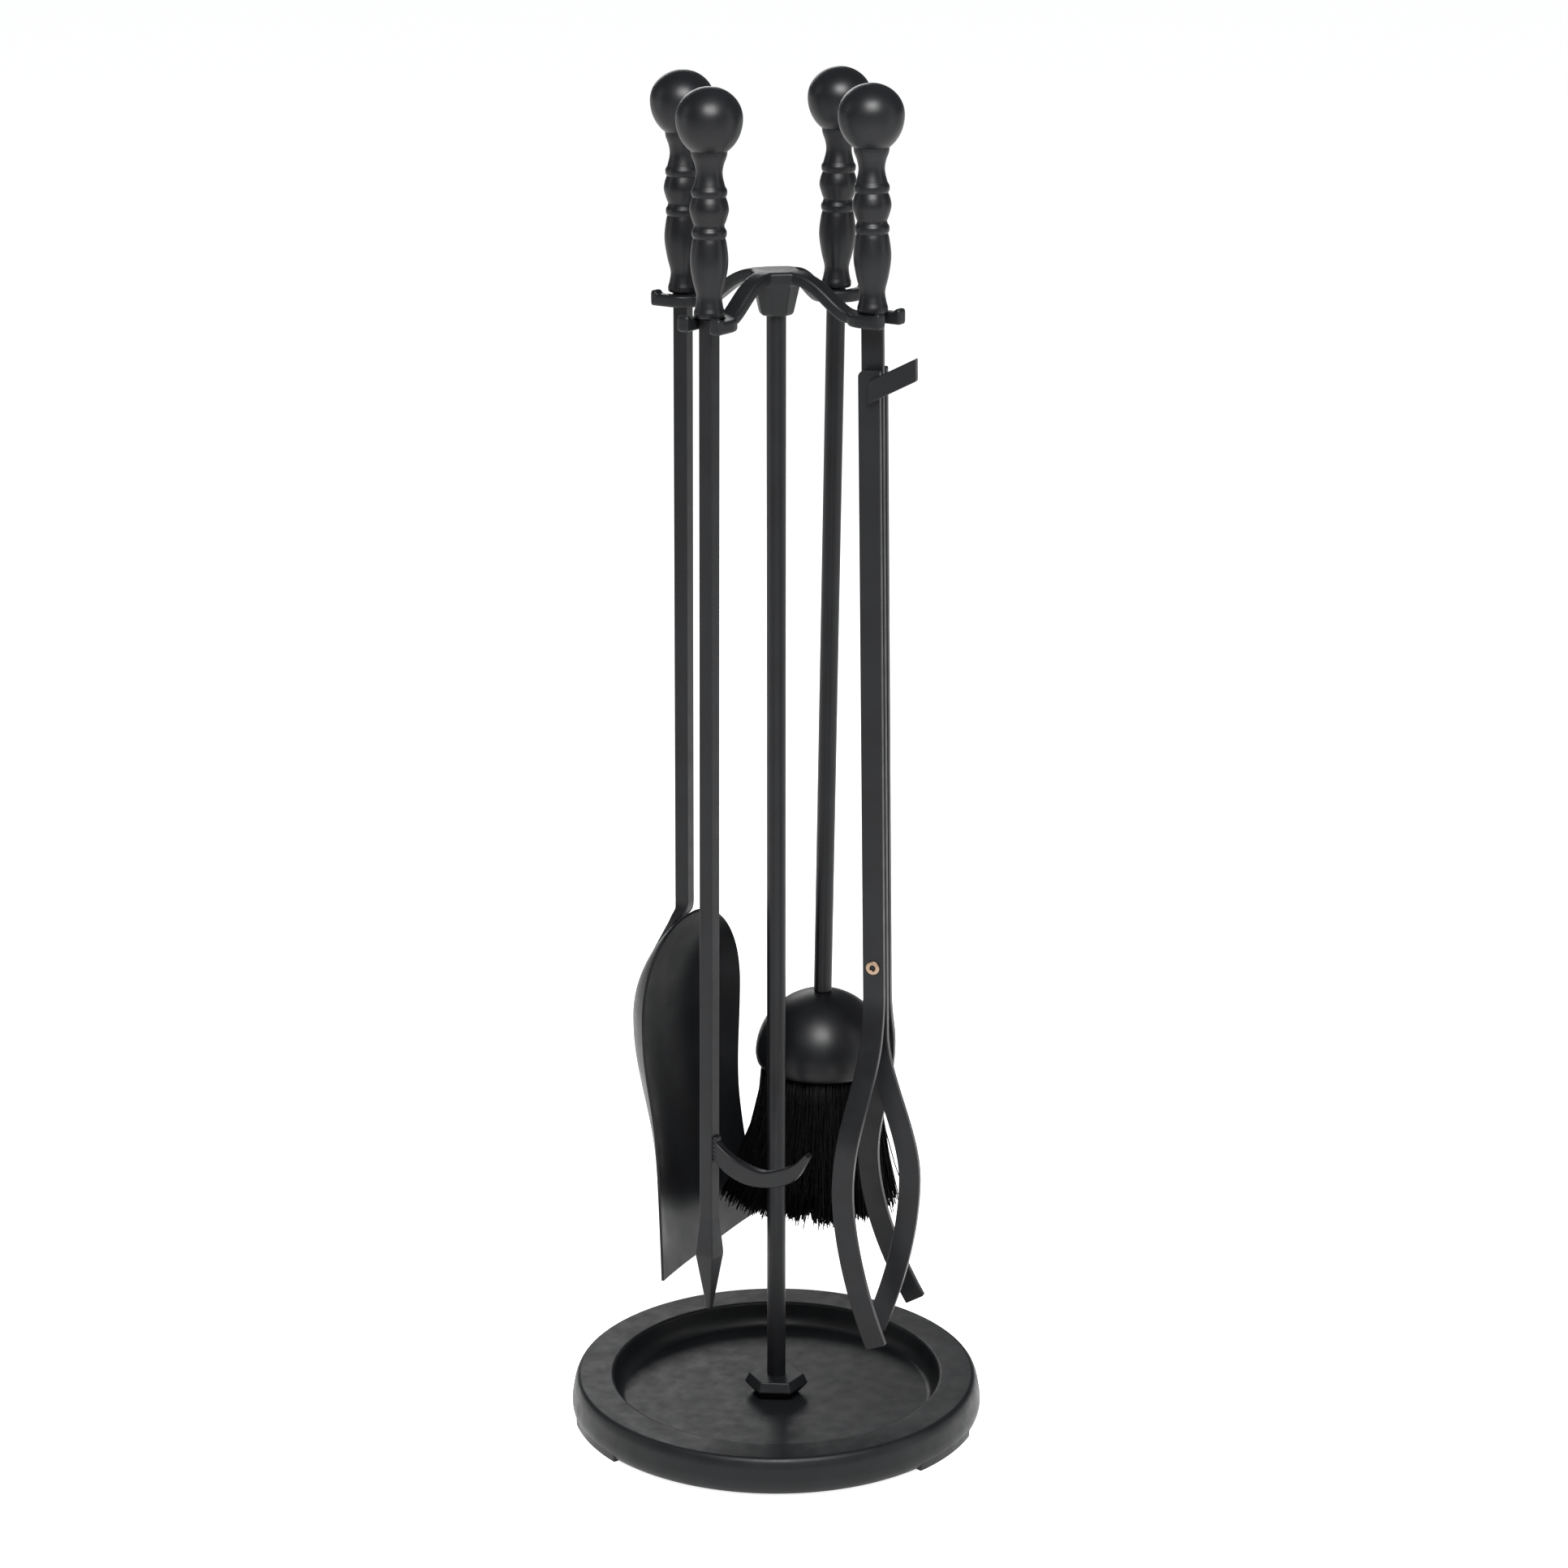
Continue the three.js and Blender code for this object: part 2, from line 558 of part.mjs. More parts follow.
function panDepth(z) {
  if (z > PAN_BELLY_Z) {
    const t = (z - PAN_BELLY_Z) / (PAN_TOP_Z - PAN_BELLY_Z);
    return PAN_DEPTH * Math.max(1 - t ** PAN_CROWN_POWER, 0);
  }
  const down = (PAN_BELLY_Z - z) / (PAN_BELLY_Z - PAN_LIP_Z);
  return PAN_DEPTH + (PAN_LIP_DEPTH - PAN_DEPTH) * smooth(down, 0, 1);
}

// Point of the pan's inner surface at a height and a share of its half width.
function panPoint(z, share) {
  const behind = panDepth(z) * (1 - Math.abs(share) ** PAN_SECTION_POWER);
  return new THREE.Vector3(panEdgeForward(z) - behind, share * panHalfWidth(z), z - HANG_Z);
}

// Heights of the pan's rows, closer together where the top rounds over.
function panHeights() {
  const rows = 15;
  return Array.from({ length: rows }, (_, i) => {
    const t = i / (rows - 1);
    return PAN_LIP_Z + (PAN_TOP_Z - 0.9 - PAN_LIP_Z) * Math.sin((t * Math.PI) / 2) ** 0.9;
  });
}

function shovelPan() {
  const shares = [-1, -0.95, -0.86, -0.7, -0.4, 0, 0.4, 0.7, 0.86, 0.95, 1];
  const inner = panHeights().map((z) => shares.map((share) => panPoint(z, share)));
  const outer = inner.map((row, i) => row.map((point, j) => {
    const down = inner[Math.max(i - 1, 0)][j];
    const up = inner[Math.min(i + 1, inner.length - 1)][j];
    const left = row[Math.max(j - 1, 0)];
    const right = row[Math.min(j + 1, row.length - 1)];
    const rise = up.clone().sub(down);
    const back = rise.cross(right.clone().sub(left)).normalize();
    if (back.x > 0) back.negate();
    return point.clone().addScaledVector(back, PAN_SHEET);
  }));
  const rings = inner.map((row, i) => [...row, ...outer[i].slice().reverse()]);
  return lofted(rings);
}

// Middle line of the flattened end, lying on the pan's back with a gap.
function behindPan(z) {
  const slope = panPoint(z + 0.5, 0).x - panPoint(z - 0.5, 0).x;
  const clear = CRANK_THICKNESS / 2 + PAN_SHEET + 2 * JOINT_GAP;
  return panPoint(z, 0).x - clear * Math.hypot(1, slope);
}

// Square bar whose flattened end slants back in a straight line that touches the pan's back.
function shovelShaft() {
  const square = bevelledRectangle(BAR, BAR, BAR_EDGE);
  const flat = bevelledRectangle(CRANK_THICKNESS, CRANK_WIDTH, BAR_EDGE);
  const touch = behindPan(CRANK_TOUCH_Z);
  const slope = behindPan(CRANK_TOUCH_Z + 0.5) - behindPan(CRANK_TOUCH_Z - 0.5);
  const onSlant = (z) => touch + slope * (z - CRANK_TOUCH_Z);
  const stations = [
    [0, HANG_Z + SHAFT_TOP, square],
    [0, SHOVEL_BEND_Z + 4, square],
    [-0.6, SHOVEL_BEND_Z, bevelledRectangle(6.6, 9, BAR_EDGE)],
    [onSlant(SHOVEL_BEND_Z - 4.5), SHOVEL_BEND_Z - 4.5, bevelledRectangle(4.8, 11.5, BAR_EDGE)],
    [onSlant(SHOVEL_BEND_Z - 9), SHOVEL_BEND_Z - 9, flat],
    [onSlant(CRANK_END_Z), CRANK_END_Z, flat],
  ].map(([x, z, section]) => ({ at: new THREE.Vector3(x, 0, z - HANG_Z), section }));
  return joined(bentBar(stations), tang());
}

// ---- poker, with its hook towards +X --------------------------------------------------------

function pokerShaft() {
  const square = (size) => bevelledRectangle(size, size, Math.min(BAR_EDGE, size / 5));
  const stations = [
    [HANG_Z + SHAFT_TOP, BAR], [SPEAR_START_Z, BAR], [SPEAR_WIDEST_Z, SPEAR_WIDTH],
    [POKER_TIP_Z, 1],
  ].map(([z, size]) => ({ at: new THREE.Vector3(0, 0, z - HANG_Z), section: square(size) }));
  return joined(bentBar(stations), tang());
}

// Crescent hook cut from flat bar and welded to the side of the poker. Its points are given as
// a share of the reach and a rise above the lowest edge.
function pokerHook() {
  const root = BAR / 2 + JOINT_GAP;
  const at = (share, rise) => new THREE.Vector2(HOOK_REACH * share, HOOK_LOW_Z + rise);
  const lower = new THREE.SplineCurve([
    new THREE.Vector2(root, HOOK_WELD_Z), at(0.18, 3.7), at(0.36, 0.2), at(0.54, 0.8),
    at(0.72, 4), at(0.88, 11), at(1, 24.6),
  ]);
  const upper = new THREE.SplineCurve([
    at(0.964, HOOK_DEPTH + 16.4), at(0.84, HOOK_DEPTH + 8.6), at(0.65, HOOK_DEPTH + 2.4),
    at(0.51, HOOK_DEPTH + 0.3), at(0.28, HOOK_DEPTH + 3.2), at(0.12, HOOK_DEPTH + 8.7),
    new THREE.Vector2(root, HOOK_WELD_Z + HOOK_WELD_HEIGHT),
  ]);
  const outline = new THREE.Shape([...lower.getPoints(14), ...upper.getPoints(14)]);
  return new THREE.ExtrudeGeometry(outline, { depth: HOOK_THICKNESS, bevelEnabled: false })
    .rotateX(Math.PI / 2).translate(0, HOOK_THICKNESS / 2, -HANG_Z);
}

// ---- brush ----------------------------------------------------------------------------------

const domeHeight = (radius, r) => Math.sqrt(radius ** 2 - r ** 2) + DOME_CENTRE_Z - HANG_Z;

// Round rod with a shoulder on the dome and a threaded end that reaches into the block.
function brushRod() {
  const shoulder = DOME_CENTRE_Z + DOME_RADIUS + JOINT_GAP - HANG_Z;
  const stud = round(BOLT_DIAMETER, BLOCK_BOTTOM_Z + 6 - HANG_Z, shoulder + 2, 16);
  return joined(round(BRUSH_ROD_DIAMETER, shoulder, SHAFT_TOP, 24), stud, tang());
}

function brushDome() {
  const inner = DOME_RADIUS - DOME_SHELL;
  const lipZ = DOME_CENTRE_Z - DOME_LIP - HANG_Z;
  const arc = (radius, from, to, steps) => Array.from({ length: steps + 1 }, (_, i) => {
    const r = from + (to - from) * Math.sin((i / steps) * (Math.PI / 2));
    return [r, domeHeight(radius, r)];
  });
  const bore = DOME_BORE / 2;
  const outline = [
    ...arc(DOME_RADIUS, bore, DOME_RADIUS, 8),
    [DOME_RADIUS - DOME_LIP_INSET, lipZ],
    [inner - DOME_LIP_INSET, lipZ],
    ...arc(inner, bore, inner, 5).reverse(),
    [bore, domeHeight(DOME_RADIUS, bore)],
  ];
  return turned(outline, 28);
}

function brushBlock() {
  const bottom = BLOCK_BOTTOM_Z - HANG_Z;
  const top = bottom + BLOCK_HEIGHT;
  const radius = (z) => {
    const above = Math.max(z + HANG_Z - DOME_CENTRE_Z, 0);
    const wall = Math.sqrt((DOME_RADIUS - DOME_SHELL) ** 2 - above ** 2);
    return wall - DOME_LIP_INSET - 2 * JOINT_GAP;
  };
  const outline = [[0, bottom], [radius(bottom), bottom], [radius(bottom), bottom + 4],
    [radius(top), top], [0, top]];
  const drilled = round(DOME_BORE, bottom + 5, top + 1, 16);
  return cut(turned(outline, 28), drilled);
}

function brushNut() {
  const under = domeHeight(DOME_RADIUS - DOME_SHELL, BRUSH_NUT_FLATS * 0.58) - JOINT_GAP;
  const body = prism(BRUSH_NUT_FLATS, 6, under - BRUSH_NUT_HEIGHT, under);
  return cut(body, round(DOME_BORE, under - BRUSH_NUT_HEIGHT - 1, under + 1, 16));
}

// The bristles as one soft body, flaring to a flat trimmed end.
function brushBristles() {
  const top = BLOCK_BOTTOM_Z - JOINT_GAP - HANG_Z;
  const bottom = top - BRISTLE_LENGTH;
  const root = DOME_RADIUS - DOME_SHELL - DOME_LIP_INSET - 2 * JOINT_GAP;
  const outline = [[0, bottom], [BRISTLE_TIP_RADIUS, bottom],
    [BRISTLE_MID_RADIUS, (top + bottom) / 2], [root, top - 12], [root, top], [0, top]];
  return turned(outline, 28);
}

// ---- tongs: straps are wide along X, stacked along Y, the front one at -Y --------------------

// Sideways place of a prong on its way down: straight, bowed out, then in to the tip.
function clawBow(z, { bow, tip, tipZ }) {
  if (z > CLAW_BOW_Z) return bow * smooth(CLAW_BEND_Z - z, 0, CLAW_BEND_Z - CLAW_BOW_Z);
  const t = (CLAW_BOW_Z - z) / (CLAW_BOW_Z - tipZ);
  return bow + (tip - bow) * t ** 1.8;
}

// Distance of an outer prong from the middle one on its way down.
function clawSpread(z) {
  const t = smooth(CLAW_SPREAD_START_Z - z, 0, CLAW_SPREAD_START_Z - CLAW_SPREAD_END_Z);
  return OUTER_STRAP_AT + (CLAW_SPREAD - OUTER_STRAP_AT) * t;
}

function strap(topZ, prongShape, side) {
  const heights = [topZ, CLAW_SPREAD_START_Z + 2];
  const steps = 14;
  for (let i = 1; i <= steps; i += 1) {
    heights.push(CLAW_SPREAD_START_Z + ((prongShape.tipZ - CLAW_SPREAD_START_Z) * i) / steps);
  }
  const section = bevelledRectangle(STRAP_WIDTH, STRAP_THICKNESS, 0.5);
  const rings = heights.map((z, i) => {
    const middle = (h) =>
      new THREE.Vector3(clawBow(h, prongShape), side * clawSpread(h), h - HANG_Z);
    const at = middle(z);
    const along = middle(z - 1).sub(middle(z + 1)).normalize();
    if (i === 0) along.set(0, 0, -1);
    const across = new THREE.Vector3(1, 0, 0).addScaledVector(along, -along.x).normalize();
    const through = new THREE.Vector3().crossVectors(along, across);
    return section.map(([u, v]) =>
      at.clone().addScaledVector(across, u).addScaledVector(through, v));
  });
  return lofted(rings);
}

const rivetBore = () => round(RIVET_BORE, -CLAW_SPREAD, CLAW_SPREAD, 16)
  .rotateX(Math.PI / 2).translate(0, 0, RIVET_Z - HANG_Z);

// The bar that carries the handle; its lower end is the claw's single middle prong.
function tongsHandleBar() {
  const bar = strap(HANG_Z + SHAFT_TOP, MIDDLE_PRONG, 0);
  return cut(joined(bar, tang()), rivetBore());
}

// A loose strap; its top outer corner is rounded.
function looseStrap(side, prongShape) {
  const bar = strap(STRAP_TOP_Z, prongShape, side);
  const corner = new THREE.Shape();
  const radius = STRAP_WIDTH * 0.36;
  corner.moveTo(-1, 1);
  corner.lineTo(radius, 1);
  corner.lineTo(radius, 0);
  corner.absarc(radius, -radius, radius, Math.PI / 2, Math.PI, false);
  corner.lineTo(-1, -radius);
  const trim = new THREE.ExtrudeGeometry(corner, {
    depth: STRAP_THICKNESS + 2, bevelEnabled: false, curveSegments: 5,
  }).rotateX(Math.PI / 2).translate(
    -STRAP_WIDTH / 2, side * OUTER_STRAP_AT + STRAP_THICKNESS / 2 + 1, STRAP_TOP_Z - HANG_Z);
  return cut(bar, rivetBore(), trim);
}

// Finger lever: strap stock welded on the front strap, slanting up and outwards.
function tongsLever() {
  const outline = new THREE.Shape();
  const foot = LEVER_FOOT_Z - HANG_Z;
  const end = LEVER_START + LEVER_REACH;
  outline.moveTo(LEVER_START, foot);
  outline.lineTo(end, foot + LEVER_RISE);
  outline.lineTo(end, foot + LEVER_RISE + LEVER_HEIGHT);
  outline.lineTo(LEVER_START, foot + LEVER_HEIGHT);
  const face = -OUTER_STRAP_AT - STRAP_THICKNESS / 2 - JOINT_GAP;
  return new THREE.ExtrudeGeometry(outline, { depth: STRAP_THICKNESS, bevelEnabled: false })
    .rotateX(Math.PI / 2).translate(0, face, 0);
}

// Tubular rivet through all three straps, flared at both ends.
function tongsRivet() {
  const seat = OUTER_STRAP_AT + STRAP_THICKNESS / 2 + JOINT_GAP;
  const end = seat + RIVET_FLANGE_THICKNESS;
  const hole = RIVET_HOLE / 2;
  const outline = [
    [hole, -end], [RIVET_FLANGE / 2 - 0.3, -end], [RIVET_FLANGE / 2, -seat],
    [RIVET_DIAMETER / 2, -seat], [RIVET_DIAMETER / 2, seat], [RIVET_FLANGE / 2, seat],
    [RIVET_FLANGE / 2 - 0.3, end], [hole, end], [hole, -end],
  ];
  return turned(outline, 20).rotateX(Math.PI / 2).translate(0, 0, RIVET_Z - HANG_Z);
}

// Washer that fills the gap between the handle bar and one loose strap.
function tongsSpacer(side) {
  const from = STRAP_THICKNESS / 2 + JOINT_GAP;
  const to = STRAP_THICKNESS / 2 + STRAP_GAP - JOINT_GAP;
  const ring = cut(round(SPACER_DIAMETER, from, to), round(RIVET_BORE, from - 1, to + 1, 16));
  return ring.rotateX(-side * (Math.PI / 2)).translate(0, 0, RIVET_Z - HANG_Z);
}

// ---- the set ----------------------------------------------------------------------------------

function named(name, geometry, material) {
  const mesh = new THREE.Mesh(closedSkin(geometry), material);
  mesh.name = name;
  return mesh;
}

// A tool's handle and the rest of its pieces, hung at their place.
function tool(title, place, pieces) {
  const group = new THREE.Group();
  group.name = title;
  const all = [[`${title}_knob`, knob(), satinBlack], [`${title}_grip`, grip(), satinBlack], ...pieces];
  for (const [name, geometry, material] of all) {
    group.add(named(name, hung(geometry, place), material));
  }
  return group;
}

const set = new THREE.Group();
set.name = 'fireplace_tool_set';

const stand = new THREE.Group();
stand.name = 'stand';
stand.add(named('base_plate', basePlate(), castBlack));
stand.add(named('base_collar', baseCollar(), castBlack));
stand.add(named('base_washer', baseWasher(), bareSteel));
stand.add(named('base_bolt', baseBolt(), bareSteel));
stand.add(named('post', post(), satinBlack));
stand.add(named('hanger', hanger(), castBlack));
set.add(stand);

set.add(tool('shovel', { fork: 180, yaw: SHOVEL_YAW, lean: SHOVEL_LEAN }, [
  ['shovel_shaft', shovelShaft(), satinBlack],
  ['shovel_pan', shovelPan(), satinBlack],
]));

set.add(tool('poker', { fork: -90, lean: POKER_LEAN, aside: POKER_ASIDE }, [
  ['poker_shaft', pokerShaft(), satinBlack],
  ['poker_hook', pokerHook(), satinBlack],
]));

set.add(tool('brush', { fork: 90, lean: BRUSH_LEAN, aside: BRUSH_ASIDE }, [
  ['brush_rod', brushRod(), satinBlack],
  ['brush_dome', brushDome(), satinBlack],
  ['brush_block', brushBlock(), woodBlock],
  ['brush_nut', brushNut(), bareSteel],
  ['brush_bristles', brushBristles(), bristleBlack],
]));

set.add(tool('tongs', { fork: 0, yaw: TONGS_YAW, lean: TONGS_LEAN }, [
  ['tongs_handle_bar', tongsHandleBar(), satinBlack],
  ['tongs_front_strap', looseStrap(-1, FRONT_PRONG), satinBlack],
  ['tongs_back_strap', looseStrap(1, BACK_PRONG), satinBlack],
  ['tongs_lever', tongsLever(), satinBlack],
  ['tongs_rivet', tongsRivet(), bareSteel],
  ['tongs_front_spacer', tongsSpacer(-1), bareSteel],
  ['tongs_back_spacer', tongsSpacer(1), bareSteel],
]));

export default set;
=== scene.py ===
# %% [markdown]
# # A fireplace tool set, from its working model to its finished look
#
# The working model already holds every piece at its real size: a round cast base, a post, a
# hanger with four forks, and four tools that hang in the forks. This lesson makes each piece
# fine enough to look at closely. The flat-sided pieces of the working model give the places,
# and every surface here is a formula: a turned profile, a section swept along a path, or a
# sheet bent into a pan.
#
# Lengths are in millimetres while a piece is drawn, and become metres when it is placed.

import math

import bmesh
import bpy
import numpy as np
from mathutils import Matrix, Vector


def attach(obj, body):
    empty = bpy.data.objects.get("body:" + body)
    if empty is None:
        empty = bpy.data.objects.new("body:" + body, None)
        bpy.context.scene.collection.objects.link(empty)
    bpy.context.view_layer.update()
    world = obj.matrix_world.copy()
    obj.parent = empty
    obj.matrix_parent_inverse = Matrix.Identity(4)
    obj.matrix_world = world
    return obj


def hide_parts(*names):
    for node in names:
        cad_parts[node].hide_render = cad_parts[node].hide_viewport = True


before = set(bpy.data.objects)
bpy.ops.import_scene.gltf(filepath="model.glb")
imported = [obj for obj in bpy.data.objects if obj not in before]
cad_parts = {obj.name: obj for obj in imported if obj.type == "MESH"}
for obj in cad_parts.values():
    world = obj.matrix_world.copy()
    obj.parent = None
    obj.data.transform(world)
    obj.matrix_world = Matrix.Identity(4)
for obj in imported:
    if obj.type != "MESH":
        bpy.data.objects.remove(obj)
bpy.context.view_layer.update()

# %% [markdown]
# ## The sizes that everything follows
#
# These are the same driving sizes as in the working model. Each tool is drawn hanging straight
# down from the foot of its handle, and a small table says how it hangs in its fork: turned on
# its own axis, leaning about +Y, and pushed aside by the play in the slot.

# %% Driving sizes
MM = 0.001

HANG_RADIUS = 58.6  # post axis to each tool's axis
HANG_Z = 621.5  # foot of the hanging handles
HANGING = {
    "shovel": {"fork": 180, "yaw": 6, "lean": 0.3, "aside": 0},
    "poker": {"fork": -90, "yaw": 0, "lean": 0.33, "aside": -1.4},
    "brush": {"fork": 90, "yaw": 0, "lean": 1, "aside": -1.1},
    "tongs": {"fork": 0, "yaw": 15, "lean": -0.97, "aside": 0},
}

BASE_RADIUS = 114
BASE_HEIGHT = 21.5
DISH_FLOOR_Z = 8
POST_DIAMETER = 10.2
HUB_BOTTOM_Z = HANG_Z - 6.7
PLATE_TOP_Z = HANG_Z + 16.6
FORK_GAP = 0.4  # between a fork and the handle that rests on it
FORK_TOP_Z = HANG_Z - FORK_GAP
HANDLE_GAP = 0.3  # between a handle's foot and the top of its bar
ARM_THICKNESS = 6.2
ARM_WIDTH = 10
FORK_THICKNESS = 6.4
SLOT_RADIUS = 6.5
PRONG_WIDTH = 6.5
FORK_REACH = 12
NUB_RISE = 1.8
NUB_LENGTH = 3.5
BAR = 8
STRAP_WIDTH = 11.5
STRAP_THICKNESS = 4
STRAP_GAP = 2
RIVET_Z = 274
STRAP_TOP_Z = HANG_Z - 28.5


def turn_about(axis, degrees):
    """The 3 x 3 matrix of a turn about x, y or z, by the right-hand rule."""
    c = math.cos(math.radians(degrees))
    s = math.sin(math.radians(degrees))
    if axis == "x":
        return np.array([[1, 0, 0], [0, c, -s], [0, s, c]])
    if axis == "y":
        return np.array([[c, 0, s], [0, 1, 0], [-s, 0, c]])
    return np.array([[c, -s, 0], [s, c, 0], [0, 0, 1]])


def hang(points, tool):
    """row = place + Ry(lean) Rz(yaw) p, with z of p measured from the handle's foot."""
    how = HANGING[tool]
    turn = turn_about("y", how["lean"]) @ turn_about("z", how["yaw"])
    fork = math.radians(how["fork"])
    place = np.array([
        HANG_RADIUS * math.cos(fork) + how["aside"],
        HANG_RADIUS * math.sin(fork),
        HANG_Z,
    ])
    return points @ turn.T + place


print("tools", ", ".join(HANGING))

# %% [markdown]
# ## Finishes
#
# The set is painted satin black all over. A paint film over drawn bar is smooth with a faint
# orange peel about a millimetre across, and the same paint over a sand casting keeps the grain
# of the sand. Both are one recipe with other numbers: a dark, slightly uneven base, a
# roughness that wanders a little, and a bump whose pattern has its real size. Pattern scales
# are worked out from millimetres, because object coordinates are in metres.

# %% Material helpers
def linear(hex_colour):
    """sRGB hex to linear light: c / 12.92 below 0.04045, else ((c + 0.055) / 1.055) ** 2.4."""
    srgb = np.array([int(hex_colour[i : i + 2], 16) for i in (1, 3, 5)]) / 255
    low = srgb / 12.92
    high = ((srgb + 0.055) / 1.055) ** 2.4
    return (*np.where(srgb <= 0.04045, low, high).tolist(), 1.0)


def per_metre(size_mm):
    """The scale that makes one pattern cell size_mm across in object coordinates."""
    return 1 / (size_mm * MM)


def new_material(name):
    """A material with its shader and the coordinates every pattern uses."""
    material = bpy.data.materials.new(name)
    material.use_nodes = True
    shader = material.node_tree.nodes["Principled BSDF"]
    return material, shader


def add_node(material, kind, inputs=None, **settings):
    """Adds one node, sets its properties and links or sets its inputs."""
    node = material.node_tree.nodes.new(kind)
    for name, value in settings.items():
        setattr(node, name, value)
    for name, value in (inputs or {}).items():
        if isinstance(value, bpy.types.NodeSocket):
            material.node_tree.links.new(value, node.inputs[name])
        else:
            node.inputs[name].default_value = value
    return node


def noise(material, where, size_mm, detail=2.0):
    """A noise pattern with cells of a real size, as a value from 0 to 1."""
    inputs = {"Vector": where, "Scale": per_metre(size_mm), "Detail": detail}
    return add_node(material, "ShaderNodeTexNoise", inputs).outputs["Fac"]


def spread(material, value, low, high):
    """Carries the middle of a noise, 0.3 to 0.7, over to low to high."""
    inputs = {"Value": value, "From Min": 0.3, "From Max": 0.7, "To Min": low, "To Max": high}
    return add_node(material, "ShaderNodeMapRange", inputs).outputs["Result"]


def painted(name, colours, gloss, patch_mm, grain_mm, grain_depth_mm):
    """Satin paint: colour between two tones in patches, wandering roughness, grain bump."""
    material, shader = new_material(name)
    where = add_node(material, "ShaderNodeTexCoord").outputs["Object"]
    patches = noise(material, where, patch_mm)
    tone = add_node(material, "ShaderNodeMix", {"Factor": spread(material, patches, 0, 1)},
                    data_type="RGBA")
    tone.inputs["A"].default_value = linear(colours[0])
    tone.inputs["B"].default_value = linear(colours[1])
    link = material.node_tree.links.new
    link(tone.outputs["Result"], shader.inputs["Base Color"])
    wander = noise(material, where, patch_mm * 0.4, 4.0)
    link(spread(material, wander, *gloss), shader.inputs["Roughness"])
    grain = noise(material, where, grain_mm, 3.0)
    bump = add_node(material, "ShaderNodeBump",
                    {"Height": grain, "Distance": grain_depth_mm * MM, "Strength": 1.0})
    link(bump.outputs["Normal"], shader.inputs["Normal"])
    shader.inputs["Specular IOR Level"].default_value = 0.2
    return material


# %% The finishes of the set
satin_paint = painted("satin_black_paint_on_steel", ("#0a0a0c", "#0f1012"), (0.34, 0.44),
                      30, 1.1, 0.012)
cast_paint = painted("satin_black_paint_on_casting", ("#0b0c0d", "#101113"), (0.40, 0.50),
                     22, 0.8, 0.05)


def bristle_finish():
    """Black fibre with a faint sheen; the tone changes a little from fibre to fibre."""
    material, shader = new_material("black_fibre")
    where = add_node(material, "ShaderNodeTexCoord").outputs["Object"]
    fibres = noise(material, where, 2.5, 1.0)
    tone = add_node(material, "ShaderNodeMix", {"Factor": spread(material, fibres, 0, 1)},
                    data_type="RGBA")
    tone.inputs["A"].default_value = linear("#030303")
    tone.inputs["B"].default_value = linear("#0b0a0a")
    material.node_tree.links.new(tone.outputs["Result"], shader.inputs["Base Color"])
    shader.inputs["Roughness"].default_value = 0.5
    shader.inputs["Specular IOR Level"].default_value = 0.05
    return material


def bronzed_steel():
    """Bare rivet metal: fine turning marks, a little brown."""
    material, shader = new_material("bronzed_bare_steel")
    where = add_node(material, "ShaderNodeTexCoord").outputs["Object"]
    marks = noise(material, where, 0.5, 3.0)
    link = material.node_tree.links.new
    link(spread(material, marks, 0.25, 0.42), shader.inputs["Roughness"])
    shader.inputs["Base Color"].default_value = linear("#8d7866")
    shader.inputs["Metallic"].default_value = 1.0
    return material


def turned_beech():
    """Plain wood for the hidden brush block: rings stretched along the block's axis."""
    material, shader = new_material("turned_beech")
    where = add_node(material, "ShaderNodeTexCoord").outputs["Object"]
    rings = add_node(material, "ShaderNodeTexWave", {
        "Vector": where, "Scale": per_metre(12), "Distortion": 3.0, "Detail": 2.0,
    }).outputs["Fac"]
    tone = add_node(material, "ShaderNodeMix", {"Factor": rings}, data_type="RGBA")
    tone.inputs["A"].default_value = linear("#8a6238")
    tone.inputs["B"].default_value = linear("#a67a4b")
    material.node_tree.links.new(tone.outputs["Result"], shader.inputs["Base Color"])
    shader.inputs["Roughness"].default_value = 0.6
    return material


fibre = bristle_finish()
rivet_metal = bronzed_steel()
beech = turned_beech()
print("finishes", [m.name for m in (satin_paint, cast_paint, fibre, rivet_metal, beech)])

# %% [markdown]
# ## Three ways to make a skin
#
# Almost everything in the set is made by one of three processes, and each has one function.
# A lathe turns a profile. A rolling mill draws a section along a path, and the smith bends it.
# A press bends a sheet. All three give a grid of points, row after row, that closes round on
# itself; the rows at its ends are closed by a flat face or meet in one point.

# %% Skins from grids
def skin(grid):
    """Quads over a grid of rows x columns x 3 whose columns close round; flat ends."""
    rows, columns = grid.shape[:2]
    corner = np.arange(rows * columns).reshape(rows, columns)
    beside = np.roll(corner, -1, axis=1)
    quads = np.stack([corner[:-1], beside[:-1], beside[1:], corner[1:]], axis=-1)
    faces = quads.reshape(-1, 4).tolist()
    for row in (0, rows - 1):
        if np.ptp(grid[row], axis=0).max() > 1e-6:
            faces.append(corner[row].tolist())
    return grid.reshape(-1, 3), faces


def torus_skin(grid):
    """Quads over a grid that closes round both ways."""
    rows, columns = grid.shape[:2]
    corner = np.arange(rows * columns).reshape(rows, columns)
    beside = np.roll(corner, -1, axis=1)
    after = np.roll(corner, -1, axis=0)
    both = np.roll(beside, -1, axis=0)
    quads = np.stack([corner, beside, both, after], axis=-1)
    return grid.reshape(-1, 3), quads.reshape(-1, 4).tolist()


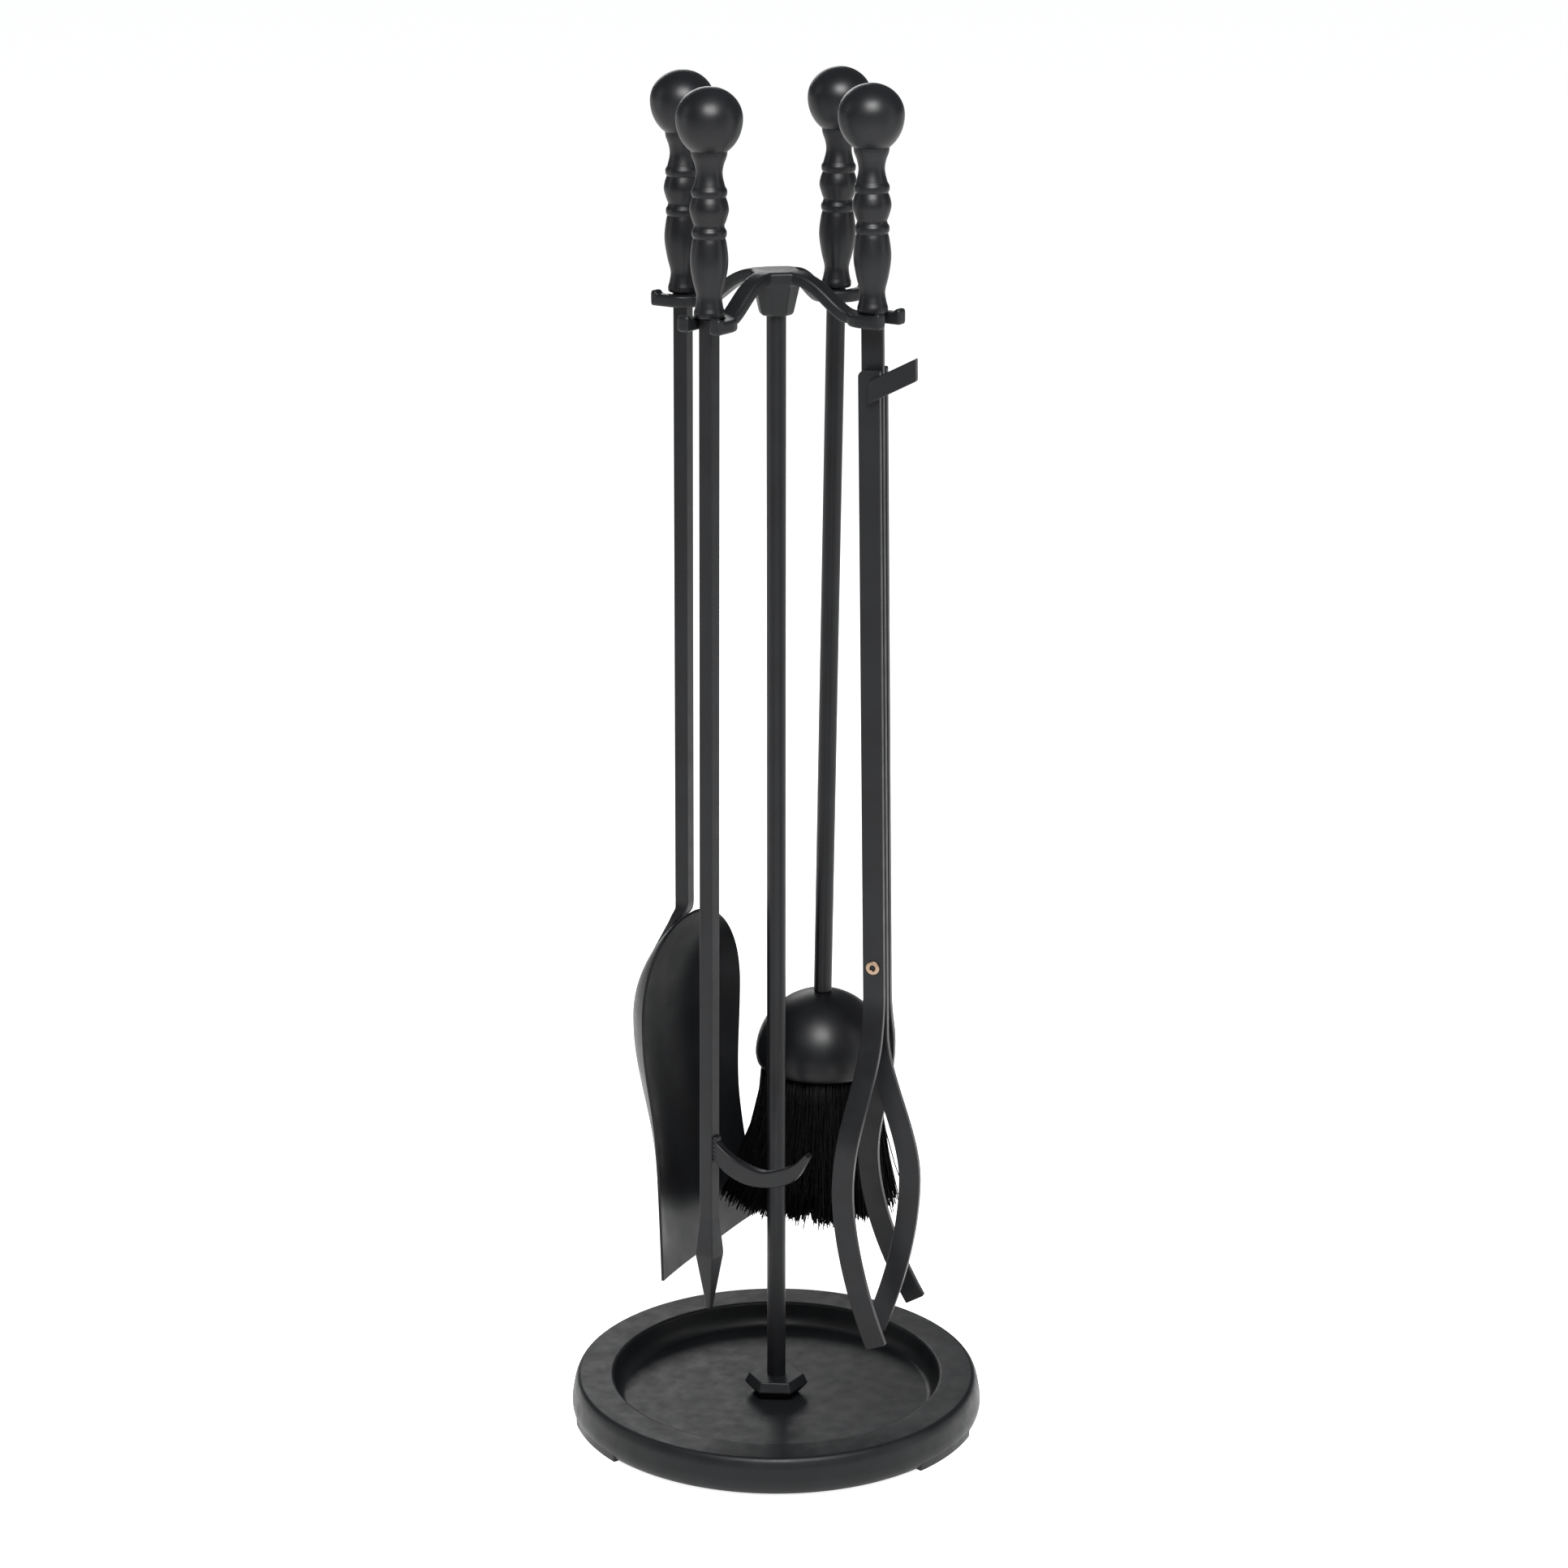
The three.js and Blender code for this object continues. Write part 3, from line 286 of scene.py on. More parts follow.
def make_piece(name, skins, material, body, nodes=(), sharp=35):
    """One object from closed skins in millimetres, in place in the row frame."""
    points, faces, count = [], [], 0
    for skin_points, skin_faces in skins:
        points.append(skin_points)
        faces += [[i + count for i in face] for face in skin_faces]
        count += len(skin_points)
    mesh = bpy.data.meshes.new(name)
    mesh.from_pydata((np.concatenate(points) * MM).tolist(), [], faces)
    work = bmesh.new()
    work.from_mesh(mesh)
    bmesh.ops.remove_doubles(work, verts=work.verts, dist=1e-6)
    bmesh.ops.recalc_face_normals(work, faces=work.faces)
    work.to_mesh(mesh)
    work.free()
    mesh.polygons.foreach_set("use_smooth", np.ones(len(mesh.polygons), bool))
    mesh.set_sharp_from_angle(angle=math.radians(sharp))
    mesh.materials.append(material)
    piece = bpy.data.objects.new(name, mesh)
    bpy.context.scene.collection.objects.link(piece)
    weighted = piece.modifiers.new("flat faces stay flat", "WEIGHTED_NORMAL")
    weighted.keep_sharp = True
    if nodes:
        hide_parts(*nodes)
    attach(piece, body)
    print(f"{name}: {len(mesh.polygons)} faces")
    return piece


def lathe(profile, sides=72):
    """(r cos a, r sin a, z) for each [r, z] of the profile and a round the circle."""
    angle = np.linspace(0, 2 * np.pi, sides, endpoint=False)
    radius, height = profile[:, 0, None], profile[:, 1, None]
    return np.stack([radius * np.cos(angle), radius * np.sin(angle),
                     height + 0 * angle], axis=-1)


def rounded_sections(width, height, edge, steps=4):
    """Rectangles width x height with corners of radius edge, one for each row: u, v."""
    angle = (np.arange(4)[:, None] * 90 + np.linspace(0, 90, steps + 1)).ravel()
    middle = np.repeat(np.arange(4) * 90 + 45, steps + 1)
    c, s = np.cos(np.radians(angle)), np.sin(np.radians(angle))
    side_u, side_v = np.sign(np.cos(np.radians(middle))), np.sign(np.sin(np.radians(middle)))
    w, h, e = (np.asarray(x, float).reshape(-1, 1) for x in (width, height, edge))
    return side_u * (w / 2 - e) + e * c, side_v * (h / 2 - e) + e * s


def sweep(path, width, height, edge, side):
    """The section drawn along the path: p + u across + v through, across as near side as
    the path allows."""
    along = np.gradient(path, axis=0)
    along /= np.linalg.norm(along, axis=1, keepdims=True)
    side = np.asarray(side, float) + 0 * path
    across = side - np.sum(side * along, axis=1, keepdims=True) * along
    across /= np.linalg.norm(across, axis=1, keepdims=True)
    through = np.cross(along, across)
    rows = np.ones(len(path))
    u, v = rounded_sections(width * rows, height * rows, edge * rows)
    return (path[:, None, :] + u[..., None] * across[:, None, :]
            + v[..., None] * through[:, None, :])


def soft_ends(grid, edge, steps=3):
    """Closes a swept grid with rounded rims: the end rows shrink by edge (1 - sin) over
    edge (1 - cos)."""
    def rim(row, inward):
        middle = row.mean(axis=0)
        out = row - middle
        reach = np.linalg.norm(out, axis=1, keepdims=True)
        turn = np.linspace(0, np.pi / 2, steps + 1)[:-1]
        return [middle + out * (1 - edge * (1 - np.sin(t)) / reach)
                + inward * edge * (1 - np.cos(t)) for t in turn]

    first = grid[1].mean(axis=0) - grid[0].mean(axis=0)
    last = grid[-2].mean(axis=0) - grid[-1].mean(axis=0)
    first /= np.linalg.norm(first)
    last /= np.linalg.norm(last)
    start = rim(grid[0], first)
    end = rim(grid[-1], last)[::-1]
    body = grid.copy()
    body[0] += first * edge
    body[-1] += last * edge
    return np.concatenate([start, body, end])


def smooth_curve(knots, per_span=8):
    """Catmull-Rom curve through the knots, whole rows at a time."""
    knots = np.asarray(knots, float)
    padded = np.vstack([2 * knots[0] - knots[1], knots, 2 * knots[-1] - knots[-2]])
    t = np.linspace(0, 1, per_span, endpoint=False)[:, None, None]
    p0, p1, p2, p3 = padded[:-3], padded[1:-2], padded[2:-1], padded[3:]
    curve = 0.5 * (2 * p1 + (p2 - p0) * t + (2 * p0 - 5 * p1 + 4 * p2 - p3) * t ** 2
                   + (3 * p1 - p0 - 3 * p2 + p3) * t ** 3)
    flat = curve.transpose(1, 0, 2).reshape(-1, knots.shape[1])
    return np.vstack([flat, knots[-1]])


def filleted(corners, steps=5, closed=True):
    """A line through [r, z, fillet] corners, each rounded by a quadratic arc."""
    corners = np.asarray(corners, float)
    points = corners[:, :2]
    before = np.roll(points, 1, axis=0) - points
    after = np.roll(points, -1, axis=0) - points
    long_before = np.linalg.norm(before, axis=1, keepdims=True)
    long_after = np.linalg.norm(after, axis=1, keepdims=True)
    reach = np.minimum(corners[:, 2:3], 0.45 * np.minimum(long_before, long_after))
    start = points + before / long_before * reach
    end = points + after / long_after * reach
    t = np.linspace(0, 1, steps)[:, None, None]
    arcs = (1 - t) ** 2 * start + 2 * t * (1 - t) * points + t ** 2 * end
    if not closed:
        arcs[:, [0, -1]] = points[[0, -1]]
    return arcs.transpose(1, 0, 2).reshape(-1, 2)


def smooth_step(x, low, high):
    """3 t^2 - 2 t^3 of the share t of the way from low to high."""
    t = np.clip((x - low) / (high - low), 0, 1)
    return t * t * (3 - 2 * t)


print("skins ready")

# %% [markdown]
# ## The base
#
# A foundry pours the base as one piece: a wide rim that falls gently into a flat dish, a skirt
# that leans in towards the top, and a hollow underneath. Its profile is a line of a few
# corners, each with the fillet that a sand mould leaves, turned about the post. Three low
# pads under the skirt keep it from rocking on an uneven hearth.

# %% Base casting and feet
RIM_INNER = 90.5
DISH_EDGE = 87
FOOT_HEIGHT = 1.8
FOOT_ARC = 26
BOLT_HOLE = 3.3
UNDERSIDE_Z = 5


def base_profile():
    """[r, z, fillet] corners of the casting, round from the bolt hole under the dish."""
    return filleted([
        [BOLT_HOLE, UNDERSIDE_Z, 0.3],
        [RIM_INNER + 1.5, UNDERSIDE_Z, 4],
        [RIM_INNER + 3.5, BASE_HEIGHT - 4, 3],
        [BASE_RADIUS - 7.5, BASE_HEIGHT - 4, 2],
        [BASE_RADIUS - 6.5, FOOT_HEIGHT, 1],
        [BASE_RADIUS - 1.2, FOOT_HEIGHT, 1],
        [BASE_RADIUS, FOOT_HEIGHT + 3, 1.5],
        [BASE_RADIUS, FOOT_HEIGHT + 6.5, 5],
        [BASE_RADIUS - 1.6, BASE_HEIGHT - 4, 3.5],
        [BASE_RADIUS - 3.6, BASE_HEIGHT, 2.2],
        [RIM_INNER + 0.4, BASE_HEIGHT - 0.6, 1.6],
        [RIM_INNER - 1.6, DISH_FLOOR_Z + 4, 4],
        [DISH_EDGE - 0.8, DISH_FLOOR_Z, 3.2],
        [BOLT_HOLE, DISH_FLOOR_Z, 0.3],
    ])


def foot_pad(degrees):
    """A rounded bar bent along the skirt: an arc of FOOT_ARC degrees about +Z."""
    inner, outer = BASE_RADIUS - 9, BASE_RADIUS - 0.2
    angle = np.radians(degrees + np.linspace(-FOOT_ARC / 2, FOOT_ARC / 2, 25))
    radius = (inner + outer) / 2
    height = FOOT_HEIGHT + 4
    path = np.stack([radius * np.cos(angle), radius * np.sin(angle),
                     np.full_like(angle, height / 2)], axis=1)
    outwards = np.stack([np.cos(angle), np.sin(angle), 0 * angle], axis=1)
    return skin(soft_ends(sweep(path, outer - inner, height, 0.6, outwards), 0.6))


make_piece(
    "base_casting",
    [torus_skin(lathe(base_profile(), 180)), foot_pad(0), foot_pad(120), foot_pad(240)],
    cast_paint, "stand", ["base_plate"], 40)

# %% [markdown]
# ## Collar and post
#
# The collar is a six-sided casting, widest halfway up, that hides the joint
# between post and base. Its faces are flat, so a bevel is all that it needs. The post is
# plain round bar.

# %% Collar and post
def collar_rings():
    """Hexagons [across corners, z], from the dish floor up to the neck round the post."""
    angle = np.radians(np.arange(6) * 60 + 30)
    levels = np.array([[25, 0.3], [35.5, 5.8], [30.5, 11]])
    radius = levels[:, :1] / 2
    return np.stack([radius * np.cos(angle), radius * np.sin(angle),
                     levels[:, 1:] + DISH_FLOOR_Z + 0 * angle], axis=-1)


collar = make_piece("base_collar_casting", [skin(collar_rings())], cast_paint, "stand",
                    ["base_collar"], 20)
softened = collar.modifiers.new("cast edges", "BEVEL")
softened.width = 0.5 * MM
softened.segments = 4
collar.modifiers.move(1, 0)

post_foot = DISH_FLOOR_Z + 0.4
post_head = HUB_BOTTOM_Z + 8  # inside the hub
post_profile = filleted([[0, post_foot, 0], [POST_DIAMETER / 2, post_foot, 0.4],
                         [POST_DIAMETER / 2, post_head, 0.4], [0, post_head, 0]],
                        closed=False)
make_piece("post_bar", [skin(lathe(post_profile, 64))], satin_paint, "stand", ["post"])

# %% [markdown]
# ## The hanger
#
# One casting again: an eight-sided hub that tapers down to the post, four arms that stay level
# and then dip to the forks, and forks whose tips turn up so that a knocked tool can't slide
# off. The pieces are drawn as separate skins that run into each other. Remeshing them into
# one surface and smoothing it a little gives the soft fillets of a sand casting.

# %% Hanger
def hub_rings():
    """Octagons [across flats, z] of the hub and the plate over it."""
    angle = np.radians(np.arange(8) * 45 + 22.5)
    plate_bottom = PLATE_TOP_Z - ARM_THICKNESS
    levels = np.array([[15, HUB_BOTTOM_Z], [17, HUB_BOTTOM_Z + 1.2],
                       [23.5, plate_bottom - 0.8], [25, plate_bottom],
                       [25, PLATE_TOP_Z - 1], [22.4, PLATE_TOP_Z]])
    radius = levels[:, :1] / 2 / math.cos(math.pi / 8)
    return np.stack([radius * np.cos(angle), radius * np.sin(angle),
                     levels[:, 1:] + 0 * angle], axis=-1)


def arm_grid():
    """A flat bar along +X: level at the plate, a long dip, level again at the fork."""
    start, end = 7.5, HANG_RADIUS - SLOT_RADIUS - 2
    fall = PLATE_TOP_Z - FORK_TOP_Z
    x = np.linspace(start, end, 50)
    share = np.clip((x - start) / (end - 4 - start), 0, 1) ** 1.4
    z = PLATE_TOP_Z - ARM_THICKNESS / 2 - fall * smooth_step(share, 0, 1)
    path = np.stack([x, 0 * x, z], axis=1)
    return sweep(path, ARM_WIDTH, ARM_THICKNESS, 1.6, (0, 1, 0))


def fork_grid():
    """A bar bent into a U about the tool's axis; its top rises by NUB_RISE at the tips."""
    radius = SLOT_RADIUS + PRONG_WIDTH / 2
    turn = np.radians(np.linspace(90, 270, 37))
    straight = np.linspace(FORK_REACH, 0.4, 24)
    x = np.concatenate([straight, radius * np.cos(turn), straight[::-1]])
    y = np.concatenate([0 * straight + radius, radius * np.sin(turn), 0 * straight - radius])
    nub = smooth_step(x, FORK_REACH - NUB_LENGTH - 1.2, FORK_REACH - NUB_LENGTH + 0.8)
    height = FORK_THICKNESS + NUB_RISE * nub
    z = FORK_TOP_Z - FORK_THICKNESS + height / 2
    flat = np.stack([x + HANG_RADIUS, y, 0 * z], axis=1)
    grid = sweep(flat, height, PRONG_WIDTH, 1.4, (0, 0, 1))
    grid[..., 2] += z[:, None]
    return soft_ends(grid, 1.6)


def quarter_turns(grid):
    """The same grid under each of the four tools."""
    return [grid @ turn_about("z", 90 * i).T for i in range(4)]


hanger_skins = [skin(hub_rings())]
hanger_skins += [skin(g) for g in quarter_turns(arm_grid()) + quarter_turns(fork_grid())]
hanger = make_piece("hanger_casting", hanger_skins, cast_paint, "stand", ["hanger"],
                    180)
hanger.modifiers.remove(hanger.modifiers[0])
one_surface = hanger.modifiers.new("one casting", "REMESH")
one_surface.mode = "VOXEL"
one_surface.voxel_size = 0.55 * MM
one_surface.use_smooth_shade = True
fillets = hanger.modifiers.new("sand mould fillets", "SMOOTH")
fillets.factor = 0.5
fillets.iterations = 4

# %% [markdown]
# ## Turned handles
#
# All four tools have the same handle: a grip turned to a row of hollows and beads, and a ball
# knob with a slightly flattened crown. A turner reads such a profile from a template; here the
# template is a smooth curve through the places where a hollow or a swelling is deepest.

# %% Grip and knob
KNOB_SEAT = 82.8
KNOB_TOP = 114.6
KNOB_EQUATOR = 98.9
KNOB_RADIUS = 16.8
KNOB_SEAT_RADIUS = 9.1


def grip_profile():
    """[r, z] up from the foot: flare, waist, barrel, bead, bulb, bead, neck, seat."""
    foot = filleted([[0, 0, 0], [7.7, 0, 0.7], [7.9, 2.4, 0.9], [7.2, 4.6, 0]], closed=False)
    lower = smooth_curve([[7.2, 4.6], [6.5, 8.6], [6.6, 11.6], [8.1, 17.5], [9.4, 25],
                          [9.55, 30.5], [8.8, 36.8], [8.1, 39.8]])
    lower_bead = smooth_curve([[8.1, 39.8], [8.75, 41.2], [8.75, 43.2], [7.9, 44.8],
                               [7.6, 46.2]])
    bulb = smooth_curve([[7.6, 46.2], [8.7, 49], [9.85, 53.4], [9.4, 57], [8.3, 60.2]])
    upper_bead = smooth_curve([[8.3, 60.2], [8.95, 61.6], [8.95, 63.6], [8, 65.4]])
    neck = smooth_curve([[8, 65.4], [7, 69.4], [6.7, 72.6], [7.3, 76.2], [8.4, 79.2]])
    seat = filleted([[8.4, 79.2, 0], [8.9, 80.7, 1.2],
                     [KNOB_SEAT_RADIUS, KNOB_SEAT - 0.05, 0.05], [0, KNOB_SEAT - 0.05, 0]],
                    closed=False)
    runs = [foot, lower[1:], lower_bead[1:], bulb[1:], upper_bead[1:], neck[1:], seat[1:]]
    return np.vstack(runs)


def knob_profile():
    """Two half ellipses that meet at the equator: r = R cos t, z = h sin t."""
    seat_sine = math.sqrt(1 - (KNOB_SEAT_RADIUS / KNOB_RADIUS) ** 2)
    lowest = -math.asin(seat_sine)
    t = np.linspace(lowest, np.pi / 2, 56)
    reach = np.where(t < 0, (KNOB_EQUATOR - KNOB_SEAT) / seat_sine, KNOB_TOP - KNOB_EQUATOR)
    ball = np.stack([KNOB_RADIUS * np.cos(t), KNOB_EQUATOR + reach * np.sin(t)], axis=1)
    ball[-1, 0] = 0
    return np.vstack([[0, KNOB_SEAT], ball])


for tool in HANGING:
    make_piece(f"{tool}_turned_grip", [skin(hang(lathe(grip_profile()), tool))], satin_paint,
               tool, [f"{tool}_grip"])
    make_piece(f"{tool}_ball_knob", [skin(hang(lathe(knob_profile()), tool))], satin_paint,
               tool, [f"{tool}_knob"])

# %% [markdown]
# ## Shovel
#
# The bar is square; its last few centimetres are hammered flat and slant back so that they
# touch the pan. The pan is sheet pressed over a block: at every height its section is a
# boxy arc, x = edge - depth (1 - |share|^3.4), wide at the belly, narrower at the waist, and
# flaring to a straight lip.

# %% Shovel sizes and curves
PAN_TOP_Z = 278
PAN_LIP_Z = 85.5
PAN_BELLY_Z = 226
PAN_WAIST_Z = 160
PAN_HALF = {"lip": 56, "waist": 47, "belly": 54.5}
PAN_DEPTH = {"lip": 1.5, "belly": 21}
PAN_FORWARD = {"lip": 17.5, "belly": 5.4}
PAN_SHEET = 1.5
SHOVEL_BEND_Z = 281.5
CRANK_THICKNESS = 3.6
CRANK_WIDTH = 13
CRANK_TOUCH_Z = 266
CRANK_END_Z = 254


def pan_half_width(z):
    """A quarter round above the belly, a cosine to the waist, a flare to the lip."""
    crown = np.clip((z - PAN_BELLY_Z) / (PAN_TOP_Z - PAN_BELLY_Z), 0, 1)
    rise = np.clip((z - PAN_WAIST_Z) / (PAN_BELLY_Z - PAN_WAIST_Z), 0, 1)
    swell = (1 - np.cos(np.pi * rise)) / 2
    flare = np.clip((PAN_WAIST_Z - z) / (PAN_WAIST_Z - PAN_LIP_Z), 0, 1)
    below = PAN_HALF["waist"] + (PAN_HALF["belly"] - PAN_HALF["waist"]) * swell
    below = below + (PAN_HALF["lip"] - PAN_HALF["waist"]) * flare ** 1.5
    return below * np.sqrt(1 - crown ** 2.3)


def pan_surface(z, share):
    """Inner face of the pan at a height and a share, -1 to 1, of its half width."""
    crown = np.clip((z - PAN_BELLY_Z) / (PAN_TOP_Z - PAN_BELLY_Z), 0, 1)
    down = np.clip((PAN_BELLY_Z - z) / (PAN_BELLY_Z - PAN_LIP_Z), 0, 1)
    reach = PAN_FORWARD["lip"] - PAN_FORWARD["belly"]
    edge = PAN_FORWARD["belly"] + reach * down ** 1.6 - 2.5 * crown
    depth = PAN_DEPTH["belly"] + (PAN_DEPTH["lip"] - PAN_DEPTH["belly"]) * smooth_step(down, 0, 1)
    depth = depth * (1 - crown ** 2)
    behind = depth * (1 - np.abs(share) ** 3.4)
    return np.stack([edge - behind, share * pan_half_width(z), z - HANG_Z + 0 * share], axis=-1)


def pan_grid(rows=110, columns=73):
    """Inner face, then the outer face one sheet behind it, as rings round the pan."""
    t = np.linspace(0, 1, rows)[:, None]
    z = PAN_LIP_Z + (PAN_TOP_Z - 0.5 - PAN_LIP_Z) * np.sin(t * np.pi / 2) ** 0.95
    share = np.sin(np.linspace(-1, 1, columns) * np.pi / 2)[None, :]
    inner = pan_surface(z, share)
    up = np.gradient(inner, axis=0)
    sideways = np.gradient(inner, axis=1)
    back = np.cross(sideways, up)
    back /= np.linalg.norm(back, axis=-1, keepdims=True) + 1e-12
    back *= -np.sign(back[..., :1] + 1e-9)
    outer = inner + PAN_SHEET * back
    return np.concatenate([inner, outer[:, ::-1]], axis=1)


def behind_pan(z):
    """Middle of the flattened bar where it would touch the pan's back at height z."""
    low, at, high = pan_surface(np.array([z - 0.5, z, z + 0.5]), np.zeros(3))[:, 0]
    clear = CRANK_THICKNESS / 2 + PAN_SHEET + 0.6
    return at - clear * math.hypot(1, high - low)


def crank_path():
    """[x, z] of the bar's middle: straight down, then a straight slant that touches the pan's
    back at CRANK_TOUCH_Z."""
    slope = behind_pan(CRANK_TOUCH_Z + 0.5) - behind_pan(CRANK_TOUCH_Z - 0.5)
    z = SHOVEL_BEND_Z + np.array([-4.5, -9, -18, CRANK_END_Z - SHOVEL_BEND_Z])
    x = behind_pan(CRANK_TOUCH_Z) + slope * (z - CRANK_TOUCH_Z)
    start = [[0, SHOVEL_BEND_Z + 9], [0, SHOVEL_BEND_Z + 4], [-0.6, SHOVEL_BEND_Z]]
    return smooth_curve(np.vstack([start, np.stack([x, z], axis=1)]), 6)


# %% Shovel pieces
make_piece("shovel_pressed_pan", [skin(hang(pan_grid(), "shovel"))], satin_paint, "shovel",
           ["shovel_pan"], 50)


def shovel_bar():
    """Square bar that turns flat as it cranks: width 8 to 13, thickness 8 to 3.6."""
    bent = crank_path()
    straight = np.linspace(HANG_Z - HANDLE_GAP, bent[0, 1] + 1, 30)
    x = np.concatenate([0 * straight, bent[:, 0]])
    z = np.concatenate([straight, bent[:, 1]])
    flat = smooth_step(SHOVEL_BEND_Z + 5 - z, 0, 13)
    width = BAR + (CRANK_WIDTH - BAR) * flat
    thick = BAR + (CRANK_THICKNESS - BAR) * flat
    path = np.stack([x, 0 * x, z - HANG_Z], axis=1)
    return soft_ends(sweep(path, width, thick, 0.9 + 0 * flat, (0, 1, 0)), 0.8)


make_piece("shovel_bar", [skin(hang(shovel_bar(), "shovel"))], satin_paint, "shovel",
           ["shovel_shaft"])

# %% [markdown]
# ## Poker
#
# The same square bar, drawn out at the end into a four-sided spear: it swells a little and
# then runs to a blunt point. The hook is a crescent of flat bar welded to one side, pointing
# up, so that a log can be pulled as well as pushed.

# %% Poker
HOOK_WELD_Z = 168
HOOK_WELD_HEIGHT = 13.7
HOOK_THICKNESS = 5


def poker_bar():
    """Square bar whose side goes 8, 11.4, then evenly down to a blunt tip."""
    z = np.concatenate([np.linspace(HANG_Z - HANDLE_GAP, 140, 30), np.linspace(134, 79, 40)])
    side = np.interp(-z, [-HANG_Z, -134, -112, -79], [BAR, BAR, 11.4, 2.6])
    edge = np.minimum(0.9, side * 0.3)
    path = np.stack([0 * z, 0 * z, z - HANG_Z], axis=1)
    return soft_ends(sweep(path, side, side, edge, (1, 0, 0)), 0.8)


def hook_grid():
    """Crescent between two curves: middle + u across + v through, row by row."""
    root = BAR / 2 - 0.4
    lower = smooth_curve([[root, HOOK_WELD_Z], [11.8, 161.7], [23.4, 158.2], [35, 158.8],
                          [46.7, 162], [56.7, 169], [64.5, 182.6]], 10)
    upper = smooth_curve([[root, HOOK_WELD_Z + HOOK_WELD_HEIGHT], [7.9, 176.3], [18, 170.8],
                          [32.7, 167.9], [42, 170], [54.4, 176.2], [62.2, 184]], 10)
    middle = (lower + upper) / 2
    depth = np.linalg.norm(upper - lower, axis=1)
    across = (upper - lower) / depth[:, None]
    u, v = rounded_sections(depth, 0 * depth + HOOK_THICKNESS, np.minimum(1.2, depth * 0.35))
    return np.stack([middle[:, :1] + u * across[:, :1], v,
                     middle[:, 1:] + u * across[:, 1:] - HANG_Z], axis=-1)


def weld_bead():
    """A low swelling of weld metal up the joint of hook and bar."""
    z = np.linspace(HOOK_WELD_Z + 0.5, HOOK_WELD_Z + 13, 24)
    size = 3.4 + 0.3 * np.sin(z * 2.6)
    path = np.stack([0 * z + BAR / 2 + 0.2, 0 * z, z - HANG_Z], axis=1)
    return soft_ends(sweep(path, size, size + 2.6, 1.2 + 0 * z, (1, 0, 0)), 1.0)


make_piece("poker_bar", [skin(hang(poker_bar(), "poker"))], satin_paint, "poker",
           ["poker_shaft"])
make_piece("poker_crescent_hook",
           [skin(hang(hook_grid(), "poker")), skin(hang(weld_bead(), "poker"))],
           satin_paint, "poker", ["poker_hook"], 50)

# %% [markdown]
# ## Brush
#
# A round rod screws into a spun steel dome, and the dome covers a turned block that holds the
# bristles. The bristles are a thicket of separate fibres: each is a three-sided taper that
# leaves the block almost straight and bends outwards on its way down, more the nearer it
# stands to the edge. On the side by the shovel they are worn and splay further out, past the
# plain solid that the working model holds for them, until the pan presses them back.

# %% Rod and dome
DOME_CENTRE_Z = 190
DOME_RADIUS = 37
BRISTLE_ROOT_Z = 186
BRISTLE_END_Z = 104
ROD_RADIUS = 5
DOME_WALL = 2

rod_top = -HANDLE_GAP
rod_shoulder = DOME_CENTRE_Z + DOME_RADIUS - HANG_Z
rod_profile = filleted([[0, rod_shoulder, 0], [ROD_RADIUS, rod_shoulder, 0.6],
                        [ROD_RADIUS, rod_top, 0.6], [0, rod_top, 0]], closed=False)
make_piece("brush_round_rod", [skin(hang(lathe(rod_profile, 64), "brush"))], satin_paint,
           "brush", ["brush_rod"])


def dome_profile():
    """Outer quarter round, rolled lip, and the inner face one wall behind."""
    t = np.linspace(np.pi / 2, 0, 40)
    outer = np.stack([DOME_RADIUS * np.cos(t), DOME_RADIUS * np.sin(t)], axis=1)
    lip = np.array([[36.6, -2.6], [36.1, -4.4], [35.3, -5], [34.4, -4.5], [34.6, -2.6]])
    bore = DOME_RADIUS - DOME_WALL
    inner = np.stack([bore * np.cos(t), bore * np.sin(t)], axis=1)
    line = np.vstack([outer, lip, inner[::-1]])
    line[:, 0] = np.maximum(line[:, 0], 0)
    return line + np.array([0, DOME_CENTRE_Z - HANG_Z])


make_piece("brush_spun_dome", [skin(hang(lathe(dome_profile(), 96), "brush"))], satin_paint,
           "brush", ["brush_dome"], 60)

# %% Bristles
BRISTLE_COUNT = 6800
SPLAY_TOWARDS = math.radians(228)
SPLAY_REACH = 14  # worn bristles bend out on the side by the shovel
SHOVEL_AT = -40  # where the shovel's pan starts to press them back
PRESSED_SHARE = 3 / 40  # of its way past that line, what a fibre keeps
BRISTLE_ROOT_RADIUS = 33
chance = np.random.default_rng(7)


